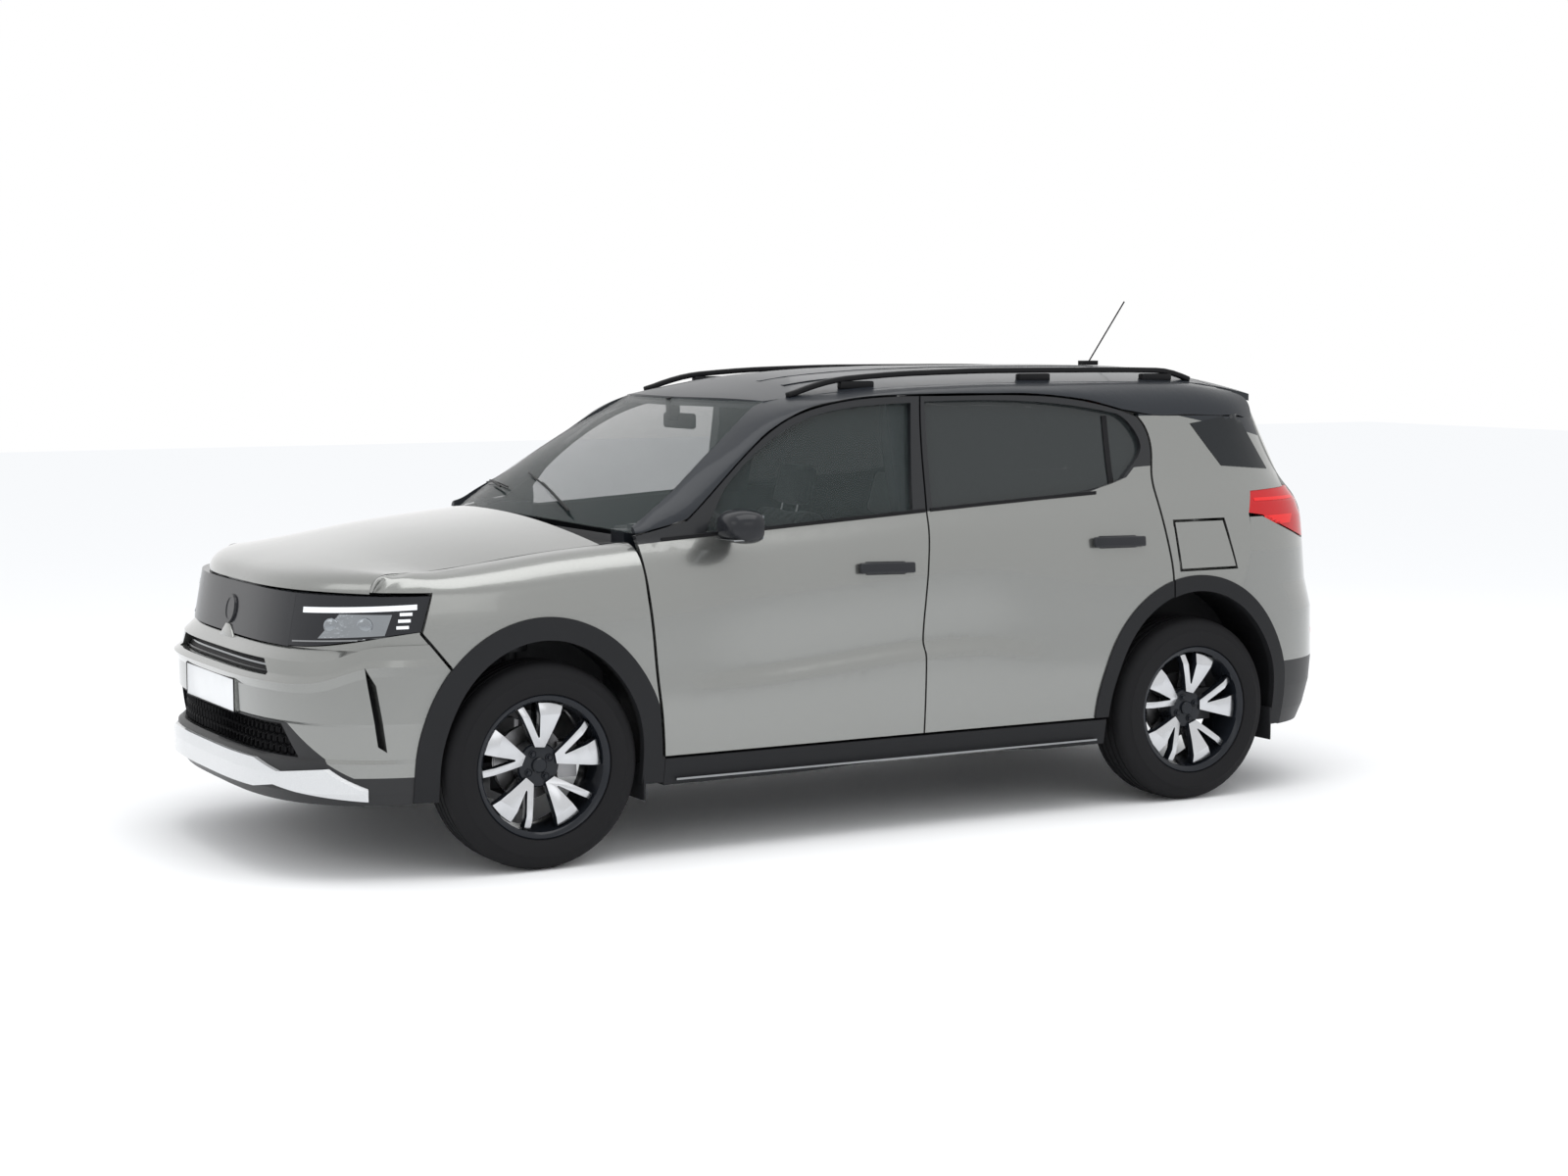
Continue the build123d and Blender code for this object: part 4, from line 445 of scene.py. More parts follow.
def block(name, low, high, round_off, segments=2):
    """Box between two corners with rounded edges."""
    fresh()
    bpy.ops.mesh.primitive_cube_add(size=1, location=[(a + b) / 2 for a, b in zip(low, high)])
    piece = added(name)
    piece.scale = [abs(b - a) for a, b in zip(low, high)]
    bpy.ops.object.transform_apply(location=True, rotation=True, scale=True)
    with editing(piece):
        bpy.ops.mesh.bevel(offset=round_off, segments=segments)
    return piece


def move(piece, matrix):
    """Turn or shift a piece and apply it; a mirrored one has its faces turned back."""
    piece.data.transform(matrix)
    if matrix.determinant() < 0:
        with editing(piece):
            bpy.ops.mesh.flip_normals()
    return piece


def twin(piece, name, matrix=None):
    """Copy with a mesh of its own, moved if asked."""
    made = piece.copy()
    made.data = piece.data.copy()
    made.name = name
    SCENE.collection.objects.link(made)
    return move(made, matrix) if matrix else made


def join(name, parts):
    """One piece made of several."""
    fresh()
    for part in parts:
        part.select_set(True)
    bpy.context.view_layer.objects.active = parts[0]
    bpy.ops.object.join()
    return added(name)


def modify(piece, kind, **settings):
    """Add a modifier and apply it."""
    take(piece)
    modifier = piece.modifiers.new(kind.lower(), kind)
    for key, value in settings.items():
        setattr(modifier, key, value)
    bpy.ops.object.modifier_apply(modifier=modifier.name)


def band(name, points, step, thick, **bevel):
    """Line of points drawn out by a step into a strip, made thick and bevelled if asked."""
    piece = chain(name, points)
    with editing(piece):
        bpy.ops.mesh.extrude_edges_move(TRANSFORM_OT_translate={"value": step})
    modify(piece, "SOLIDIFY", thickness=thick, offset=0)
    if bevel:
        modify(piece, "BEVEL", **bevel)
    return piece


def done(piece, finish, body="body", angle=35, over=()):
    take(piece)
    bpy.ops.object.shade_smooth_by_angle(angle=math.radians(angle))
    if not piece.data.materials:
        piece.data.materials.append(FINISHES[finish])
    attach(piece, body)
    if over:
        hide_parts(*over)
    return piece


def pair(piece, finish, body="body", angle=35, over=""):
    """The left-hand piece and its mirror image; {} in a name stands for the hand."""
    stem = piece.name
    right = twin(piece, stem + "_right", MIRROR)
    piece.name = stem + "_left"
    for made, (hand, _) in zip((piece, right), HANDS):
        done(made, finish, body.format(hand), angle, [over.format(hand)] if over else ())


# ---- Pieces that follow a surface ------------------------------------------
SURFACES = {}


def surface_of(node):
    """Search tree of a CAD piece's faces, kept once made."""
    if node not in SURFACES:
        shape = bmesh.new()
        shape.from_mesh(NODES[node].data)
        shape.transform(NODES[node].matrix_world)
        SURFACES[node] = BVHTree.FromBMesh(shape)
    return SURFACES[node]


def ray(node, start, aim):
    """Where a line first meets a CAD piece, or None."""
    return surface_of(node).ray_cast(Vector(start), Vector(aim).normalized())[0]


def side_ray(node, x, z):
    """Point of a left-hand piece seen from its side."""
    return ray(node, (x, 2.0, z), (0, -1, 0))


def wrap_ray(node, angle, z, end="front", out=0.0):
    """Point of a piece seen at an angle round one end of the car, moved out if asked."""
    centre, sign = ENDS[end]
    way = Vector((sign * math.cos(angle), math.sin(angle), 0))
    hit = ray(node, Vector((centre, 0, z)) + way * 2.5, -way)
    return hit + way * out if hit else None


def patch(name, node, corners, way="front", lift=0.0006, thick=0.003, across=24, up=4):
    """Thin piece lying on a surface between four corners, each a point near the surface."""
    fresh()
    bpy.ops.mesh.primitive_grid_add(x_subdivisions=across, y_subdivisions=up, size=2)
    piece = added(name)
    low_from, low_to, high_to, high_from = (Vector(corner) for corner in corners)
    if way != "side":
        centre, sign = ENDS[way]
        turns = [math.atan2(y, (x - centre) * sign) for x, y, _ in corners]
    for vertex in piece.data.vertices:
        u, v = (vertex.co.x + 1) / 2, (vertex.co.y + 1) / 2
        spot = low_from.lerp(low_to, u).lerp(high_from.lerp(high_to, u), v)
        if way == "side":
            hit, out = side_ray(node, spot.x, spot.z), Vector((0, 1, 0))
        else:
            low = turns[0] + (turns[1] - turns[0]) * u
            high = turns[3] + (turns[2] - turns[3]) * u
            angle = low + (high - low) * v
            hit = wrap_ray(node, angle, spot.z, way)
            out = Vector((math.cos(angle) * sign, math.sin(angle), 0))
        vertex.co = (hit if hit else spot) + out * lift
    modify(piece, "SOLIDIFY", thickness=thick, offset=0)
    return outward(piece)


# ---- Wheels ----------------------------------------------------------------
SPOKE_BEND = 0.17    # radius at which a spoke's face turns back towards the rim
SPOKES = 5
SPOKE_THICK = 0.034
TURNS = {"front_left": 1, "rear_left": -9, "front_right": 25, "rear_right": 11}    # degrees


def spoke_depth(radius):
    """How far the spoke's face stands outboard of the wheel's middle."""
    if radius < SPOKE_BEND:
        return 0.060 + (radius - 0.06) * 0.027 / 0.11
    return 0.087 - (radius - SPOKE_BEND) * 0.22


def wheel_face():
    """Machined double spokes, each a wide wedge and a thin bar with a slot between."""
    shape = [(0.016, 0.062), (0.082, 0.194), (0.061, 0.203), (0.006, 0.094), (0.001, 0.094),
             (0.008, 0.211), (-0.036, 0.208), (-0.080, 0.196), (-0.019, 0.058)]
    spoke = chain("spoke", [(t, 0, r) for t, r in shape + shape[:1]])
    with editing(spoke):
        bpy.ops.mesh.remove_doubles(threshold=0.0001)
        bpy.ops.mesh.edge_face_add()
    for radius in (SPOKE_BEND, SPOKE_BEND - 0.004, 0.12):
        cut(spoke, (0, 0, radius), (0, 0, 1))
    push(spoke, (0, 0.03, 0))
    for vertex in spoke.data.vertices:
        face = spoke_depth(math.hypot(vertex.co.x, vertex.co.z))
        vertex.co.y = face - (0 if vertex.co.y > 0.015 else SPOKE_THICK)
    modify(spoke, "BEVEL", width=0.0012, segments=2, angle_limit=EDGE_ANGLE)
    spoke.data.materials.append(FINISHES["bright"])
    spoke.data.materials.append(FINISHES["pocket"])
    for face in spoke.data.polygons:
        face.material_index = 0 if face.normal.y > 0.6 else 1
    turned = [twin(spoke, "spoke_turned", Matrix.Rotation(math.tau * k / SPOKES, 4, "Y"))
              for k in range(1, SPOKES)]
    return join("spokes", [spoke] + turned)


def wheel_black():
    """Barrel, hub, cap, bolt seats and the tongues in the spokes, all in black."""
    outer, half = RIM_RADIUS, RIM_HALF
    lip, bed = outer - 0.0005, outer - 0.010
    barrel = lathe("barrel", [
        (bed, -half + 0.006), (lip, -half + 0.006), (lip, -half + 0.0005),
        (outer - 0.019, -half + 0.0005), (outer - 0.022, -0.07), (outer - 0.034, 0),
        (outer - 0.024, 0.06), (outer - 0.022, half - 0.012), (outer - 0.014, half - 0.004),
        (outer - 0.004, half - 0.0005), (lip, half - 0.003), (lip, half - 0.008),
        (bed, half - 0.010), (bed, 0.07), (outer - 0.024, 0), (bed, -0.07)])
    hub = lathe("hub", [(CORE, 0.05), (0.052, 0.053), (0.070, 0.05), (0.074, 0.044),
                        (0.072, -0.019), (CORE, -0.019)], 60)
    cap = lathe("cap", [(CORE, 0.064), (0.021, 0.0635), (0.025, 0.060), (0.026, 0.049),
                        (CORE, 0.049)], 40)
    bolt = lathe("bolt", [(CORE, 0.060), (0.006, 0.060), (0.007, 0.058), (0.007, 0.0535),
                          (0.010, 0.0535), (0.013, 0.056), (0.0145, 0.056), (0.015, 0.05),
                          (CORE, 0.05)], 12)
    bolts = []
    for degrees in (60, 150, 240, 330):
        a = math.radians(degrees)
        place = Matrix.Translation((0.044 * math.cos(a), 0, 0.044 * math.sin(a)))
        bolts.append(twin(bolt, "bolt_set", place))
    bpy.data.objects.remove(bolt)
    tongues = []
    for k in range(SPOKES):
        tongue = block("tongue", (-0.011, -0.018, 0.062), (0.011, 0.036, 0.206), 0.004)
        tongues.append(move(tongue, Matrix.Rotation(math.tau * (k - 0.08) / SPOKES, 4, "Y")))
    return join("wheel_dark", [barrel, hub, cap] + bolts + tongues)


def brake_disc():
    """Vented disc and its bell."""
    disc = lathe("disc", [(0.067, -0.047), (0.124, -0.047), (0.124, -0.039), (0.118, -0.039),
                          (0.118, -0.035), (0.124, -0.035), (0.124, -0.027), (0.067, -0.027)], 72)
    bell = lathe("bell", [(0.0165, -0.047), (0.068, -0.047), (0.068, -0.020), (0.0165, -0.020)], 48)
    return join("brake", [disc, bell])


def tyre_piece():
    """Tyre with grooved tread and ribbed sidewalls."""
    half, outer, bead = TYRE_WIDTH / 2, TYRE_RADIUS, RIM_RADIUS - 0.0095
    side = [(bead, half - 0.014), (bead + 0.010, half - 0.012), (bead + 0.012, half - 0.004),
            (bead + 0.018, half - 0.003), (bead + 0.020, half - 0.0015),
            (bead + 0.034, half - 0.001), (bead + 0.036, half - 0.0004),
            (bead + 0.066, half - 0.0008), (bead + 0.068, half - 0.003),
            (outer - 0.030, half - 0.008), (outer - 0.016, half - 0.016),
            (outer - 0.006, half - 0.028)]
    tread = [(outer - 0.0035, half - 0.038)]
    for middle in (0.048, 0.016, -0.016, -0.048):
        crown = outer - 0.0001 - abs(middle) * 0.02
        tread += [(crown, middle + 0.0055), (crown - 0.0075, middle + 0.0045),
                  (crown - 0.0075, middle - 0.0045), (crown, middle - 0.0055)]
    tread += [(outer - 0.0035, -half + 0.038)]
    back = [(r, -y) for r, y in reversed(side)]
    inside = [(bead, -half + 0.030), (bead + 0.06, -half + 0.018), (outer - 0.017, -half + 0.036),
              (outer - 0.016, 0), (outer - 0.017, half - 0.036), (bead + 0.06, half - 0.018),
              (bead, half - 0.030)]
    return lathe("tyre", side + tread + back + inside, 144)


def wheels():
    """Each wheel in its place, the right-hand ones mirrored."""
    parts = {"spokes": (wheel_face(), "bright", "alloy"),
             "dark": (wheel_black(), "pocket", "alloy"),
             "disc": (brake_disc(), "iron", "alloy"),
             "tyre": (tyre_piece(), "rubber", "tyre")}
    for end, x in (("front", FRONT_AXLE), ("rear", REAR_AXLE)):
        for hand, side in HANDS:
            where = f"{end}_{hand}"
            place = Matrix.Translation((x, side * WHEEL_Y, TYRE_RADIUS))
            place = place @ (Matrix.Identity(4) if side > 0 else MIRROR)
            place = place @ Matrix.Rotation(math.radians(TURNS[where]), 4, "Y")
            for key, (piece, finish, slot) in parts.items():
                made = twin(piece, f"wheel_{key}_{where}", place)
                over = f"tyre_{where}" if key == "tyre" else f"rim_{where}"
                done(made, finish, f"wheel_{where}", over=(over,))
    for piece, _, _ in parts.values():
        bpy.data.objects.remove(piece)


wheels()


# ---- Front -----------------------------------------------------------------
def lamps():
    """Light bar, three steps, reflector, brow and two lenses in each headlamp."""
    bar = patch("lamp_bar", "headlamps", [(2.019, .552, .861), (1.733, .815, .879),
                                          (1.733, .815, .896), (2.019, .552, .879)])
    pair(bar, "light")
    steps = []
    for z, shift in ((0.865, 0.0), (0.844, 0.006), (0.823, 0.012)):
        steps.append(patch("lamp_step", "headlamps",
                           [(1.788 + shift, .803, z - .005), (1.750 + shift, .815, z - .004),
                            (1.750 + shift, .815, z + .006), (1.788 + shift, .803, z + .005)],
                           across=6, up=2))
    pair(join("lamp_steps", steps), "light")
    well = patch("lamp_reflector", "headlamps",
                 [(1.981, .614, .783), (1.828, .782, .798),
                  (1.809, .792, .864), (1.940, .681, .864)],
                 thick=0.002, across=30, up=8)
    pair(well, "mirrored")
    rim = patch("lamp_brow", "headlamps", [(2.045, .520, .765), (1.76, .806, .790),
                                           (1.76, .806, .794), (2.045, .520, .770)])
    pair(rim, "chrome")
    lenses = []
    for angle, z in ((0.715, 0.824), (0.83, 0.828)):
        ring = lathe("lens_ring", [(CORE, 0.004), (0.015, 0.003), (0.022, 0.0002), (0.026, 0.002),
                                   (0.027, 0.0), (CORE, 0.0)], 32)
        spot = wrap_ray("headlamps", angle, z, out=0.0008)
        turn = Matrix.Rotation(angle - math.pi / 2, 4, "Z")
        lenses.append(move(ring, Matrix.Translation(spot) @ turn))
    pair(join("lamp_lenses", lenses), "mirrored")


def badge_boss():
    """Bare round boss with a plain ring, and the small facet under it."""
    spot, out = surface_of("grille_panel").ray_cast(Vector((3, 0, 0.826)), Vector((-1, 0, 0)))[:2]
    turn = Vector((0, 1, 0)).rotation_difference(out).to_matrix().to_4x4()
    boss = lathe("visor_boss", [(CORE, 0.004), (0.036, 0.004), (0.038, 0.0065), (0.047, 0.0065),
                                (0.050, 0.001), (0.050, -0.008), (CORE, -0.008)], 72)
    move(boss, Matrix.Translation(spot + out * 0.0015) @ turn)
    done(boss, "visor")
    base = wrap_ray("front_bumper", 0, 0.735)
    points = [(base.x - 0.016, -0.075, 0.730), (base.x - 0.016, 0.075, 0.730),
              (base.x - 0.024, 0.022, 0.776), (base.x - 0.024, -0.022, 0.776)]
    facet = push(chain("visor_facet", points, filled=True), (0.019, 0, 0))
    modify(facet, "BEVEL", width=0.002, segments=2)
    done(facet, "silver")


def slot_bars():
    """Thin bars that follow the slot above the lower grille across the car."""
    reach, count, thick = 0.46, 24, 0.006
    for key, low, high, finish in (("upper", .694, .701, "visor"), ("middle", .676, .685, "chrome"),
                                   ("lower", .660, .667, "visor")):
        points = []
        for k in range(count + 1):
            angle = -reach + 2 * reach * k / count
            spot = wrap_ray("lower_grille", angle, (low + high) / 2, out=0.006)
            if spot:
                points.append((spot.x, spot.y, low))
        bar = band("slot_bar_" + key, points, (0, 0, high - low), thick,
                   width=min(thick, high - low) * 0.3, segments=2, angle_limit=EDGE_ANGLE)
        done(outward(bar), finish)


def honeycomb():
    """Six-sided cells in rows across the lower mouth."""
    ring = lathe("cell", [(0.0150, 0.006), (0.0192, 0.0), (0.0150, -0.004), (0.0138, 0.0)], 6)
    cells = []
    for row, z in enumerate((0.4155, 0.4455, 0.4755)):
        for k in range(-18, 19):
            y = (k + (row % 2) / 2) * 0.0345
            if abs(y) > 0.575 - row * 0.012:
                continue
            hit = ray("lower_grille", (3, y, z), (-1, 0, 0))
            if hit is None or hit.x < 1.95:
                continue
            slope = math.atan2(y, hit.x - 1.2) * 1.1
            turn = Matrix.Rotation(slope - math.pi / 2, 4, "Z")
            turn = turn @ Matrix.Rotation(math.pi / 6, 4, "Y")
            cells.append(twin(ring, "cell_set", Matrix.Translation((hit.x + 0.003, y, z)) @ turn))
    bpy.data.objects.remove(ring)
    done(join("honeycomb", cells), "trim")


def plates():
    """Blank number plates in plain frames."""
    mounts = {m["name"]: m for m in frame["record"]["mounts"]}
    for end, (_, sign) in ENDS.items():
        x, _, z = mounts[end + "_plate_face"]["pos_m"]
        plate = block("plate_" + end, (x + sign * 0.0004, -0.26, z - 0.055),
                      (x + sign * 0.0022, 0.26, z + 0.055), 0.0007)
        done(plate, "plate")
        back, face = x + sign * 0.0002, x + sign * 0.0042
        rails = [block("rail", (back, -0.262, z + low), (face, 0.262, z + high), 0.001)
                 for low, high in ((-0.057, -0.0535), (0.0535, 0.057))]
        rails += [block("post", (back, low, z - 0.056), (face, high, z + 0.056), 0.001)
                  for low, high in ((-0.262, -0.2585), (0.2585, 0.262))]
        done(join("plate_frame_" + end, rails), "trim")


lamps()
badge_boss()
slot_bars()
honeycomb()
plates()


# ---- Sides -----------------------------------------------------------------
def handle(row, x_rear, x_front, z_rear, z_front):
    """Pull handle on both doors of a row, its cup a gloss-black block that paints the shade of the
    recess behind the grip.
    """
    middle = ((x_rear + x_front) / 2, (z_rear + z_front) / 2)
    half, tilt = (x_front - x_rear) / 2, math.atan2(z_front - z_rear, x_front - x_rear)
    base = side_ray(row + "_door_left", *middle)
    grip = block(row + "_handle", (-half, 0.004, -0.019), (half, 0.022, 0.019), 0.007, 3)
    for share in (-0.35, 0.45):
        cut(grip, (half * share, 0, 0), (1, 0, 0))
    # Painted shade: the cup is a gloss-black block standing in for the shadowed recess behind the
    # grip, not a recess cut into the door.
    cup = block("cup", (-half * 0.72, -0.010, -0.0235), (half * 0.72, 0.0035, 0.0235), 0.004)
    piece = join(row + "_handle", [grip, cup])
    place = Matrix.Translation(base) @ Matrix.Rotation(-tilt, 4, "Y")
    move(piece, place @ Matrix.Rotation(math.radians(7), 4, "X"))
    pair(piece, "visor", row + "_door_{}")


def seal(row, points):
    """Narrow strip under the windows of a row's doors along a line of (x, z) points."""
    fine = []
    for (x0, z0), (x1, z1) in zip(points, points[1:]):
        steps = max(2, int(math.hypot(x1 - x0, z1 - z0) / 0.03))
        for k in range(steps):
            t = k / steps
            fine.append((x0 + (x1 - x0) * t, z0 + (z1 - z0) * t))
    hits = [side_ray(row + "_door_left", x, z) for x, z in fine + points[-1:]]
    strip = band(row + "_belt", [tuple(hit) for hit in hits if hit], (0, 0, 0.012), 0.004)
    pair(outward(strip), "trim", row + "_door_{}")


def pillar_glass():
    """Dark glass that carries the side windows round to the tailgate."""
    piece = patch("pillar_glass", "body_side_left",
                  [(-1.530, .78, 1.2545), (-1.786, .74, 1.235), (-1.655, .70, 1.448),
                   (-1.410, .74, 1.415)], way="side", across=16, up=16)
    pair(piece, "wrap_glass")


def mirrors():
    """Door mirrors: rounded gloss cap on a foot, with a glass and a bright lower strip."""
    middle = Vector((0.620, 0.936, 1.112))
    fresh()
    bpy.ops.mesh.primitive_uv_sphere_add(segments=40, ring_count=24, radius=1, location=(0, 0, 0))
    cap = added("mirror_cap")
    cut(cap, (-0.45, 0, 0), (1, 0, 0), clear_inner=True, use_fill=True)
    for vertex in cap.data.vertices:
        x, y, z = vertex.co
        vertex.co = (x * 0.078 - 0.001, math.copysign(abs(y) ** 0.72, y) * 0.096,
                     math.copysign(abs(z) ** 0.72, z) * 0.0585)
    foot = block("mirror_foot", (0.585, 0.789, 1.066), (0.645, 0.900, 1.092), 0.009, 3)
    shell = join("mirror_cap", [move(cap, Matrix.Translation(middle)), foot])
    strip = block("mirror_strip", (0.607, 0.872, 1.068), (0.690, 1.006, 1.0735), 0.002)
    face = block("mirror_glass", (0.5805, 0.858, 1.072), (0.5845, 1.014, 1.152), 0.0015)
    for piece, finish, slot, angle in ((shell, "visor", "gloss_black", 50),
                                       (strip, "chrome", "gloss_black", 35),
                                       (face, "mirrored", "steel", 35)):
        pair(piece, finish, "front_door_{}", angle, "door_mirror_{}")


def window_bar():
    """Upright bar between the rear door's glass and its fixed corner pane."""
    bar = patch("window_bar", "rear_door_glass_left",
                [(-1.004, .78, 1.150), (-1.026, .78, 1.150), (-1.040, .74, 1.448),
                 (-1.018, .74, 1.448)], way="side", thick=0.006, across=2, up=14, lift=0.002)
    pair(bar, "trim", "rear_door_{}")


def sill_strip():
    """Bright line along the lower edge of the sill."""
    strip = block("sill_strip", (-0.90, 0.866, 0.2605), (0.84, 0.8762, 0.2685), 0.002)
    pair(strip, "chrome")


def flaps():
    """Mud flap behind each wheel."""
    for key, x in (("front", 0.955), ("rear", -1.725)):
        flap = block(key + "_mud_flap", (x - 0.004, 0.690, 0.20), (x + 0.004, 0.868, 0.325),
                     0.003)
        pair(flap, "cladding")


handle("front", -0.100, 0.126, 0.936, 0.942)
handle("rear", -1.106, -0.873, 0.989, 0.993)
pillar_glass()
mirrors()
window_bar()
sill_strip()
flaps()
seal("front", [(-0.19, 1.1245), (0.2, 1.1005), (0.60, 1.0765), (0.86, 1.0625)])
seal("rear", [(-0.93, 1.165), (-0.70, 1.1535), (-0.42, 1.138), (-0.18, 1.124)])


# ---- Inside ----------------------------------------------------------------
VOXEL = 0.009
SWELL_STEPS = 12
SWELL_MOST = 0.016    # a cushion's surface moves no further than this
SEAM_WIDTH = 0.008
SEAT_Y, BENCH_Y = 0.36, 0.308
UPRIGHT = Matrix.Rotation(math.radians(90), 4, "Y")
SEAT_LEAN = Matrix.Rotation(math.radians(-16), 4, "Y")
BENCH_LEAN = Matrix.Rotation(math.radians(-18), 4, "Y") @ UPRIGHT


def pad(name, size, place, over, seams=()):
    """Crowned cushion swollen by pressure; a seam is an axis, where it lies and its depth."""
    fresh()
    bpy.ops.mesh.primitive_cube_add(size=1, location=(0, 0, 0))
    piece = added(name)
    piece.scale = [s * k for s, k in zip(size, (0.94, 0.94, 0.80))]
    bpy.ops.object.transform_apply(location=True, rotation=True, scale=True)
    with editing(piece):
        bpy.ops.mesh.bevel(offset=min(size) * 0.22, segments=3)
        bpy.ops.mesh.select_all(action="SELECT")
        bpy.ops.mesh.subdivide(number_cuts=3)
    modify(piece, "REMESH", mode="VOXEL", voxel_size=VOXEL)
    before = [vertex.co.copy() for vertex in piece.data.vertices]
    take(piece)
    cloth = piece.modifiers.new("swell", "CLOTH")
    for key, value in (("quality", 4), ("use_pressure", True), ("uniform_pressure_force", 4),
                       ("tension_stiffness", 40), ("compression_stiffness", 40)):
        setattr(cloth.settings, key, value)
    cloth.settings.effector_weights.gravity = 0
    cloth.collision_settings.use_collision = False
    cloth.point_cache.frame_start = 1
    cloth.point_cache.frame_end = SWELL_STEPS
    for step in range(SWELL_STEPS):
        SCENE.frame_set(step + 1)
    bpy.ops.object.modifier_apply(modifier=cloth.name)
    SCENE.frame_set(1)
    half = [s / 2 for s in size]
    for vertex, start in zip(piece.data.vertices, before):
        shift = vertex.co - start
        if shift.length > SWELL_MOST:
            shift = shift.normalized() * SWELL_MOST
        spot = start + shift
        for axis in range(3):
            spot[axis] = max(-half[axis], min(half[axis], spot[axis]))
        crown = (1 - (spot.x / half[0]) ** 2) * (1 - (spot.y / half[1]) ** 2)
        spot.z *= 0.86 + 0.14 * crown
        for axis, at, depth in seams:
            if spot.z > 0:
                spot.z -= depth * math.exp(-((spot[axis] - at) / SEAM_WIDTH) ** 2)
        vertex.co = spot
    modify(piece, "SMOOTH", factor=0.4, iterations=2)
    modify(piece, "SUBSURF", levels=1, render_levels=1)
    move(piece, place)
    done(piece, "cloth", angle=60, over=(over,))


def seats():
    """Front seats and rear bench, padded and sewn, with their bases and posts."""
    over = ("front_seats",)
    for hand, side in HANDS:
        y = side * SEAT_Y
        pad("front_cushion_" + hand, (0.50, 0.48, 0.145), Matrix.Translation((0.06, y, 0.488)),
            "front_seats", ((0, 0.0, 0.007), (1, 0.15, 0.009), (1, -0.15, 0.009)))
        pad("front_backrest_" + hand, (0.60, 0.46, 0.125),
            Matrix.Translation((-0.23, y, 0.79)) @ SEAT_LEAN @ UPRIGHT,
            "front_seats", ((0, 0.06, 0.006), (1, 0.14, 0.008), (1, -0.14, 0.008)))
        pad("front_headrest_" + hand, (0.165, 0.24, 0.09),
            Matrix.Translation((-0.325, y, 1.16)) @ SEAT_LEAN @ UPRIGHT, "front_seats")
        base = block("seat_base_" + hand, (-0.12, y - 0.19, 0.2758), (0.24, y + 0.19, 0.414), 0.012)
        done(base, "trim", over=over)
        posts = []
        for off in (-0.06, 0.06):
            post = lathe("post", [(CORE, -0.07), (0.006, -0.07), (0.006, 0.07), (CORE, 0.07)], 16)
            stand = Matrix.Translation((-0.305, y + off, 1.085)) @ SEAT_LEAN
            posts.append(move(post, stand @ Matrix.Rotation(math.radians(90), 4, "X")))
        done(join("seat_posts_" + hand, posts), "chrome", over=over)
    for hand, side in HANDS:
        y = side * BENCH_Y
        pad("bench_cushion_" + hand, (0.46, 0.61, 0.12), Matrix.Translation((-0.745, y, 0.556)),
            "rear_bench", ((0, 0.0, 0.006), (1, 0.0, 0.006)))
        pad("bench_backrest_" + hand, (0.60, 0.61, 0.115),
            Matrix.Translation((-1.045, y, 0.82)) @ BENCH_LEAN,
            "rear_bench", ((0, 0.05, 0.006), (1, 0.0, 0.006)))
    for key, y in (("left", 0.4), ("middle", 0.0), ("right", -0.4)):
        pad("bench_headrest_" + key, (0.115, 0.22, 0.075),
            Matrix.Translation((-1.145, y, 1.145)) @ BENCH_LEAN, "rear_bench")
    base = block("bench_base", (-1.05, -0.60, 0.2760), (-0.56, 0.60, 0.495), 0.02)
    done(base, "trim", over=("rear_bench",))


def cabin_detail():
    """Instrument hood, screen, vents, the wheel's middle and the inside mirror."""
    hood = block("instrument_hood", (0.615, 0.22, 1.030), (0.76, 0.50, 1.075), 0.016, 3)
    done(hood, "dash")
    screen = block("centre_screen", (0.592, -0.12, 0.925), (0.604, 0.14, 1.035), 0.004)
    done(screen, "wrap_glass")
    vents = []
    for y in (0.53, -0.53):
        vents.append(block("vent", (0.593, y - 0.05, 0.955), (0.6035, y + 0.05, 0.985), 0.003))
    for y in (0.53, -0.53):
        for z in (0.955, 0.967):
            vents.append(block("vent", (0.593, y - 0.045, z), (0.6, y + 0.045, z + 0.004), 0.001))
    done(join("dash_vents", vents), "trim")
    hub = block("wheel_pad", (-0.028, -0.055, -0.04), (-0.004, 0.055, 0.035), 0.010, 3)
    tilt = Matrix.Rotation(math.radians(24), 4, "Y")
    move(hub, Matrix.Translation((0.392, 0.36, 0.965)) @ tilt)
    done(hub, "trim", "steering_wheel")
    back = block("inside_mirror", (0.36, -0.115, 1.405), (0.385, 0.115, 1.462), 0.011, 3)
    stem = block("mirror_stem", (0.375, -0.012, 1.435), (0.425, 0.012, 1.520), 0.005)
    done(join("inside_mirror", [back, stem]), "trim")


def door_trim():
    """Armrest with a pull cup and a map pocket inside each side door."""
    for door, rear, front in (("front_door", -0.02, 0.52), ("rear_door", -0.80, -0.33)):
        rest = block("rest", (rear, 0.700, 0.815), (front, 0.766, 0.860), 0.016, 3)
        pull = block("pull", (front - 0.20, 0.712, 0.862), (front - 0.06, 0.748, 0.868), 0.002)
        pocket = block("pocket", (rear + 0.04, 0.722, 0.470),
                       (front - 0.02, 0.766, 0.580), 0.014, 3)
        pair(join(door + "_armrest", [rest, pull, pocket]), "dash", door + "_{}")


seats()
cabin_detail()
door_trim()


# ---- Roof, screen and tail -------------------------------------------------
def wiper(name, arm, blade):
    """Arm and blade lying on the windscreen, each given by its two ends."""
    parts = []
    for (start, end), high, wide in ((arm, 0.016, 0.007), (blade, 0.007, 0.005)):
        spots = []
        for k in range(13):
            spot = Vector([a + (b - a) * (k / 12) for a, b in zip(start, end)])
            hit = ray("windscreen", spot + SCREEN_OUT, -SCREEN_OUT)
            spots.append(tuple((hit if hit else spot) + SCREEN_OUT * high))
        parts.append(band("line", spots, (wide, 0, 0), wide))
    done(outward(join(name, parts)), "trim")


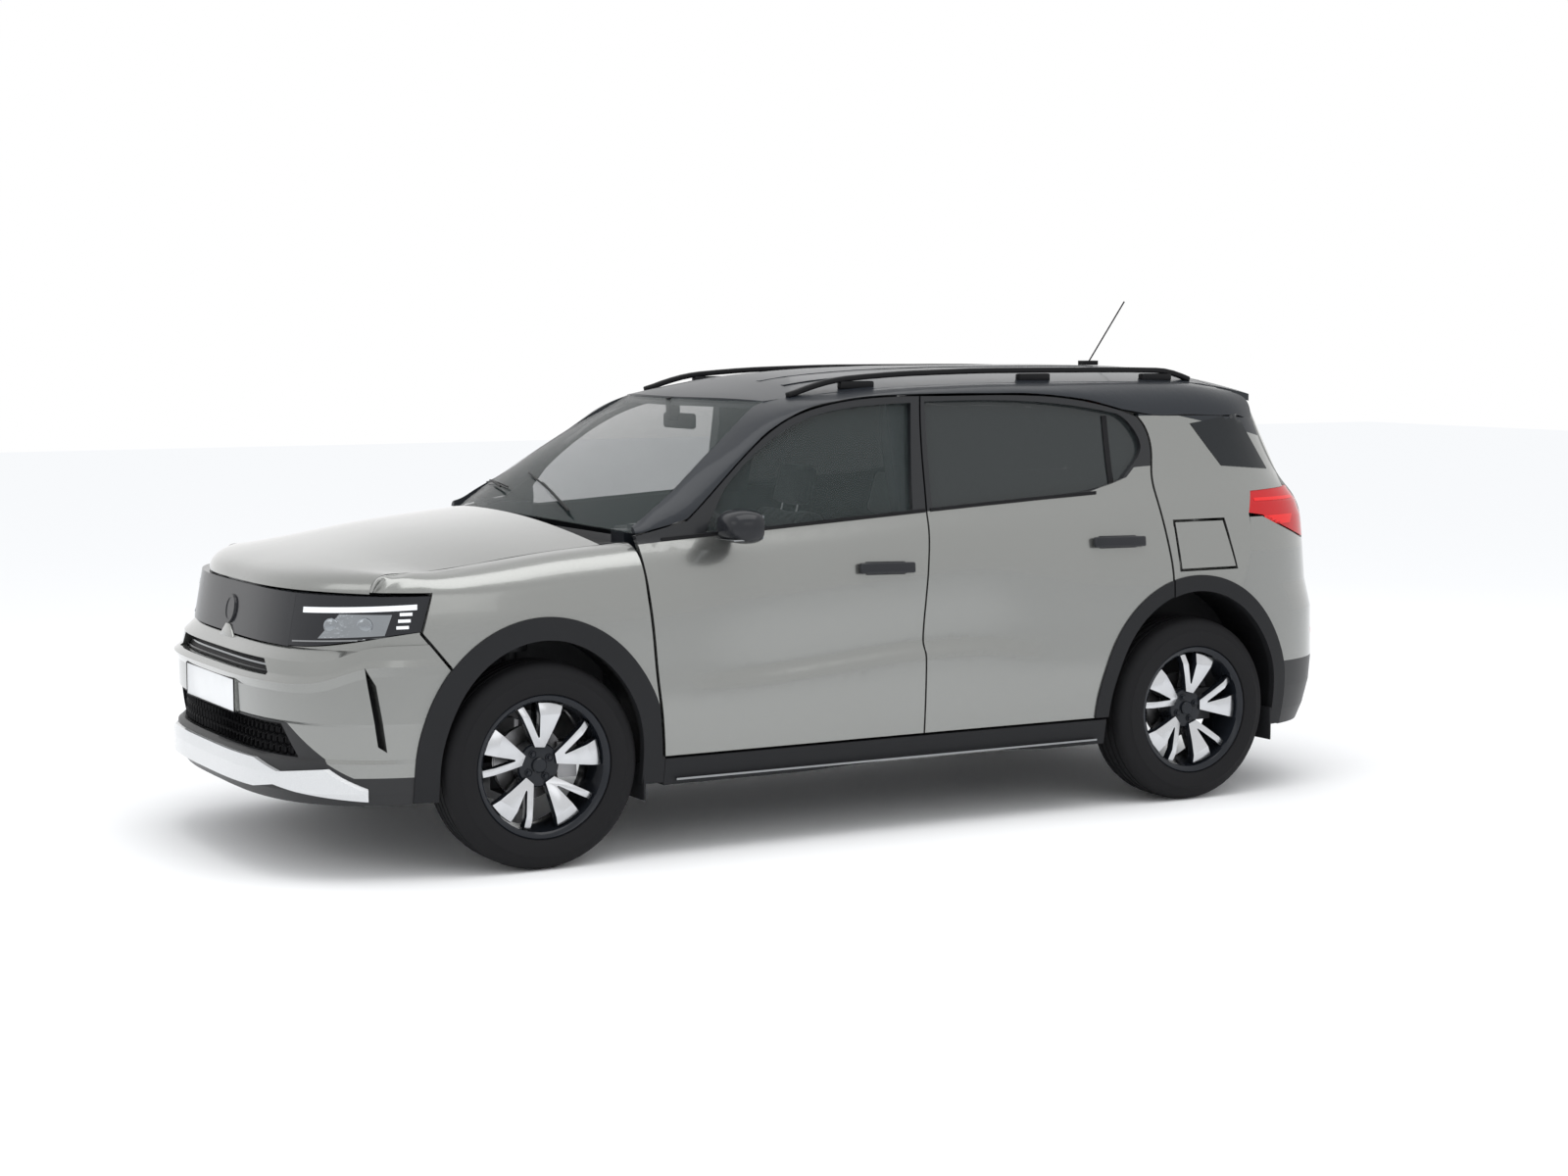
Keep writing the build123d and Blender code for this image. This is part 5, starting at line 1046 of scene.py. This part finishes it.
def roof_ribs():
    """Shallow ribs pressed along the roof."""
    ribs = []
    for y in (-0.36, -0.18, 0.18, 0.36):
        points = [(x, y, ray("roof_panel", (x, y, 3), (0, 0, -1)).z - 0.0004)
                  for x in [0.15 - 0.1 * k for k in range(16)]]
        ribs.append(outward(band("rib", points, (0, 0.03, 0), 0.003, width=0.0012, segments=2)))
    done(join("roof_ribs", ribs), "slate")


def rails():
    """Slim roof rail on each side, its ends swept down into the roof."""
    low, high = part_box("roof_rails")
    count, rise = 44, 0.030
    spots = []
    for k in range(count + 1):
        share = k / count
        x = high.x - 0.004 + (low.x - high.x + 0.008) * share
        top = ray("roof_panel", (min(max(x, -1.56), 0.22), 0.56, 3), (0, 0, -1))
        end = min(share / 0.14, (1 - share) / 0.09, 1.0)
        spots.append((x, 0.548, top.z + 0.004 + rise * math.sin(end * math.pi / 2)))
    parts = [band("roof_rail", spots, (0, 0.026, 0), 0.020, width=0.006, segments=3,
                  angle_limit=EDGE_ANGLE)]
    for k in (7, 26, 40):
        x, top = spots[k][0], spots[k][2] - 0.034
        parts.append(block("rail_foot", (x - 0.07, 0.546, top - 0.006),
                           (x + 0.07, 0.576, top + 0.022), 0.006))
    pair(outward(join("roof_rail", parts)), "trim", over="roof_rails")


def tail_details():
    """Lamp lines, reflectors, rear handle and the rear wiper."""
    for name, node, thick, corners in (
            ("tail_lamp_line", "tail_lamps", 0.003,
             [(-1.66, .83, 1.118), (-1.95, .76, 1.118), (-1.95, .76, 1.130), (-1.66, .83, 1.130)]),
            ("tail_lamp_wedge", "tail_lamps", 0.003,
             [(-1.72, .838, 1.028), (-1.85, .80, 1.028),
              (-1.88, .79, 1.062), (-1.70, .838, 1.062)]),
            ("rear_reflector", "rear_bumper", 0.004,
             [(-2.10, .50, .575), (-2.05, .66, .575), (-2.05, .66, .598), (-2.10, .50, .598)])):
        pair(patch(name, node, corners, "rear", thick=thick), "red_bright")
    spot = wrap_ray("tailgate", 0, 0.965, "rear")
    bar = block("tailgate_handle", (spot.x - 0.008, -0.24, 0.945), (spot.x + 0.010, 0.24, 0.972),
                0.005, 3)
    done(bar, "visor", "tailgate")
    height = 1.22
    spot = wrap_ray("tailgate_glass", 0, height, "rear")
    arm = block("rear_wiper_arm", (-0.009, -0.17, -0.006), (0.004, 0.17, 0.006), 0.003)
    blade = block("rear_wiper_blade", (-0.004, -0.19, -0.014), (0.004, 0.13, -0.006), 0.002)
    pivot = lathe("rear_wiper_pivot", [(CORE, -0.010), (0.02, -0.008), (0.022, 0.008),
                                       (CORE, 0.008)], 28)
    move(pivot, Matrix.Translation((0.0, 0.16, 0)) @ Matrix.Rotation(math.pi / 2, 4, "Z"))
    piece = join("rear_wiper", [arm, blade, pivot])
    move(piece, Matrix.Translation((spot.x - 0.010, 0, height)))
    done(piece, "trim", "tailgate")


wiper("wiper_left", ((1.018, 0.44, 1.135), (0.955, 0.10, 1.20)),
      ((1.010, 0.40, 1.150), (0.915, -0.14, 1.245)))
wiper("wiper_right", ((0.985, -0.20, 1.170), (0.935, -0.44, 1.20)),
      ((0.980, -0.16, 1.180), (0.905, -0.58, 1.212)))
roof_ribs()
rails()
tail_details()


# ---- Studio ----------------------------------------------------------------
CAMERA_SPOT = (4.8317, 8.6540, 1.7679)
CAMERA_YAW, CAMERA_PITCH = math.radians(-119.53), math.radians(-5.61)
LENS_MM, SENSOR_MM = 60.42, 36
FLOOR_SIZE = 60
PALE = (0.97, 0.97, 0.97)


def plain_world():
    """White world to the camera and in reflections, and a slightly cool one for light."""
    world = bpy.data.worlds.new("studio_world")
    SCENE.world = world
    world.use_nodes = True
    tree = world.node_tree
    tree.nodes.clear()

    def add(kind, *inputs):
        made = tree.nodes.new("ShaderNode" + kind)
        if kind == "Math":
            made.operation = "MAXIMUM"
        for index, value in enumerate(inputs):
            if isinstance(value, bpy.types.NodeSocket):
                tree.links.new(value, made.inputs[index])
            else:
                made.inputs[index].default_value = value
        return made.outputs

    ways = add("LightPath")
    glossy = add("Math", ways["Is Glossy Ray"], ways["Is Transmission Ray"])
    seen = add("Math", ways["Is Camera Ray"], glossy[0])
    soft = add("Background", (0.965, 0.98, 1.0, 1.0), 1.0)
    white = add("Background", (1, 1, 1, 1), 1.0)
    add("OutputWorld", add("MixShader", seen[0], soft[0], white[0])[0])


def studio():
    """Pale floor, plain world, soft lamps and the camera."""
    bpy.ops.mesh.primitive_plane_add(size=FLOOR_SIZE, location=(0, 0, 0))
    floor = added("floor")
    pale = Finish("pale_floor", PALE, 0.9, Specular_IOR_Level=0.0)
    speck = pale.noise(0.4, 2.0)
    pale.put(Base_Color=pale.mix(speck * 0.3, PALE, (0.975, 0.975, 0.975)))
    floor.data.materials.append(pale.material)
    plain_world()
    for name, power, size, spot, aim in (
            ("lamp_over", 150, (6, 4), (0.5, 1.5, 5.5), (0, 0, 0.5)),
            ("lamp_side", 20, (5, 2), (1.5, 7.0, 3.0), (0, 0, 0.8)),
            ("lamp_nose", 20, (3, 2), (6.5, 0.5, 3.0), (1.0, 0, 0.7)),
            ("lamp_back", 15, (4, 2), (-5, -5, 4.0), (-1, 0, 0.8))):
        data = bpy.data.lights.new(name, "AREA")
        data.shape = "RECTANGLE"
        data.size, data.size_y = size
        data.energy = power
        lamp = bpy.data.objects.new(name, data)
        SCENE.collection.objects.link(lamp)
        lamp.location = spot
        lamp.rotation_euler = (Vector(aim) - Vector(spot)).to_track_quat("-Z", "Y").to_euler()
    lens = bpy.data.cameras.new("camera")
    lens.lens = LENS_MM
    lens.sensor_width = SENSOR_MM
    lens.clip_end = 100
    camera = bpy.data.objects.new("camera", lens)
    SCENE.collection.objects.link(camera)
    camera.location = CAMERA_SPOT
    ahead = Vector((math.cos(CAMERA_PITCH) * math.cos(CAMERA_YAW),
                    math.cos(CAMERA_PITCH) * math.sin(CAMERA_YAW), math.sin(CAMERA_PITCH)))
    camera.rotation_euler = ahead.to_track_quat("-Z", "Y").to_euler()
    SCENE.camera = camera
    SCENE.view_settings.view_transform = "Standard"


studio()
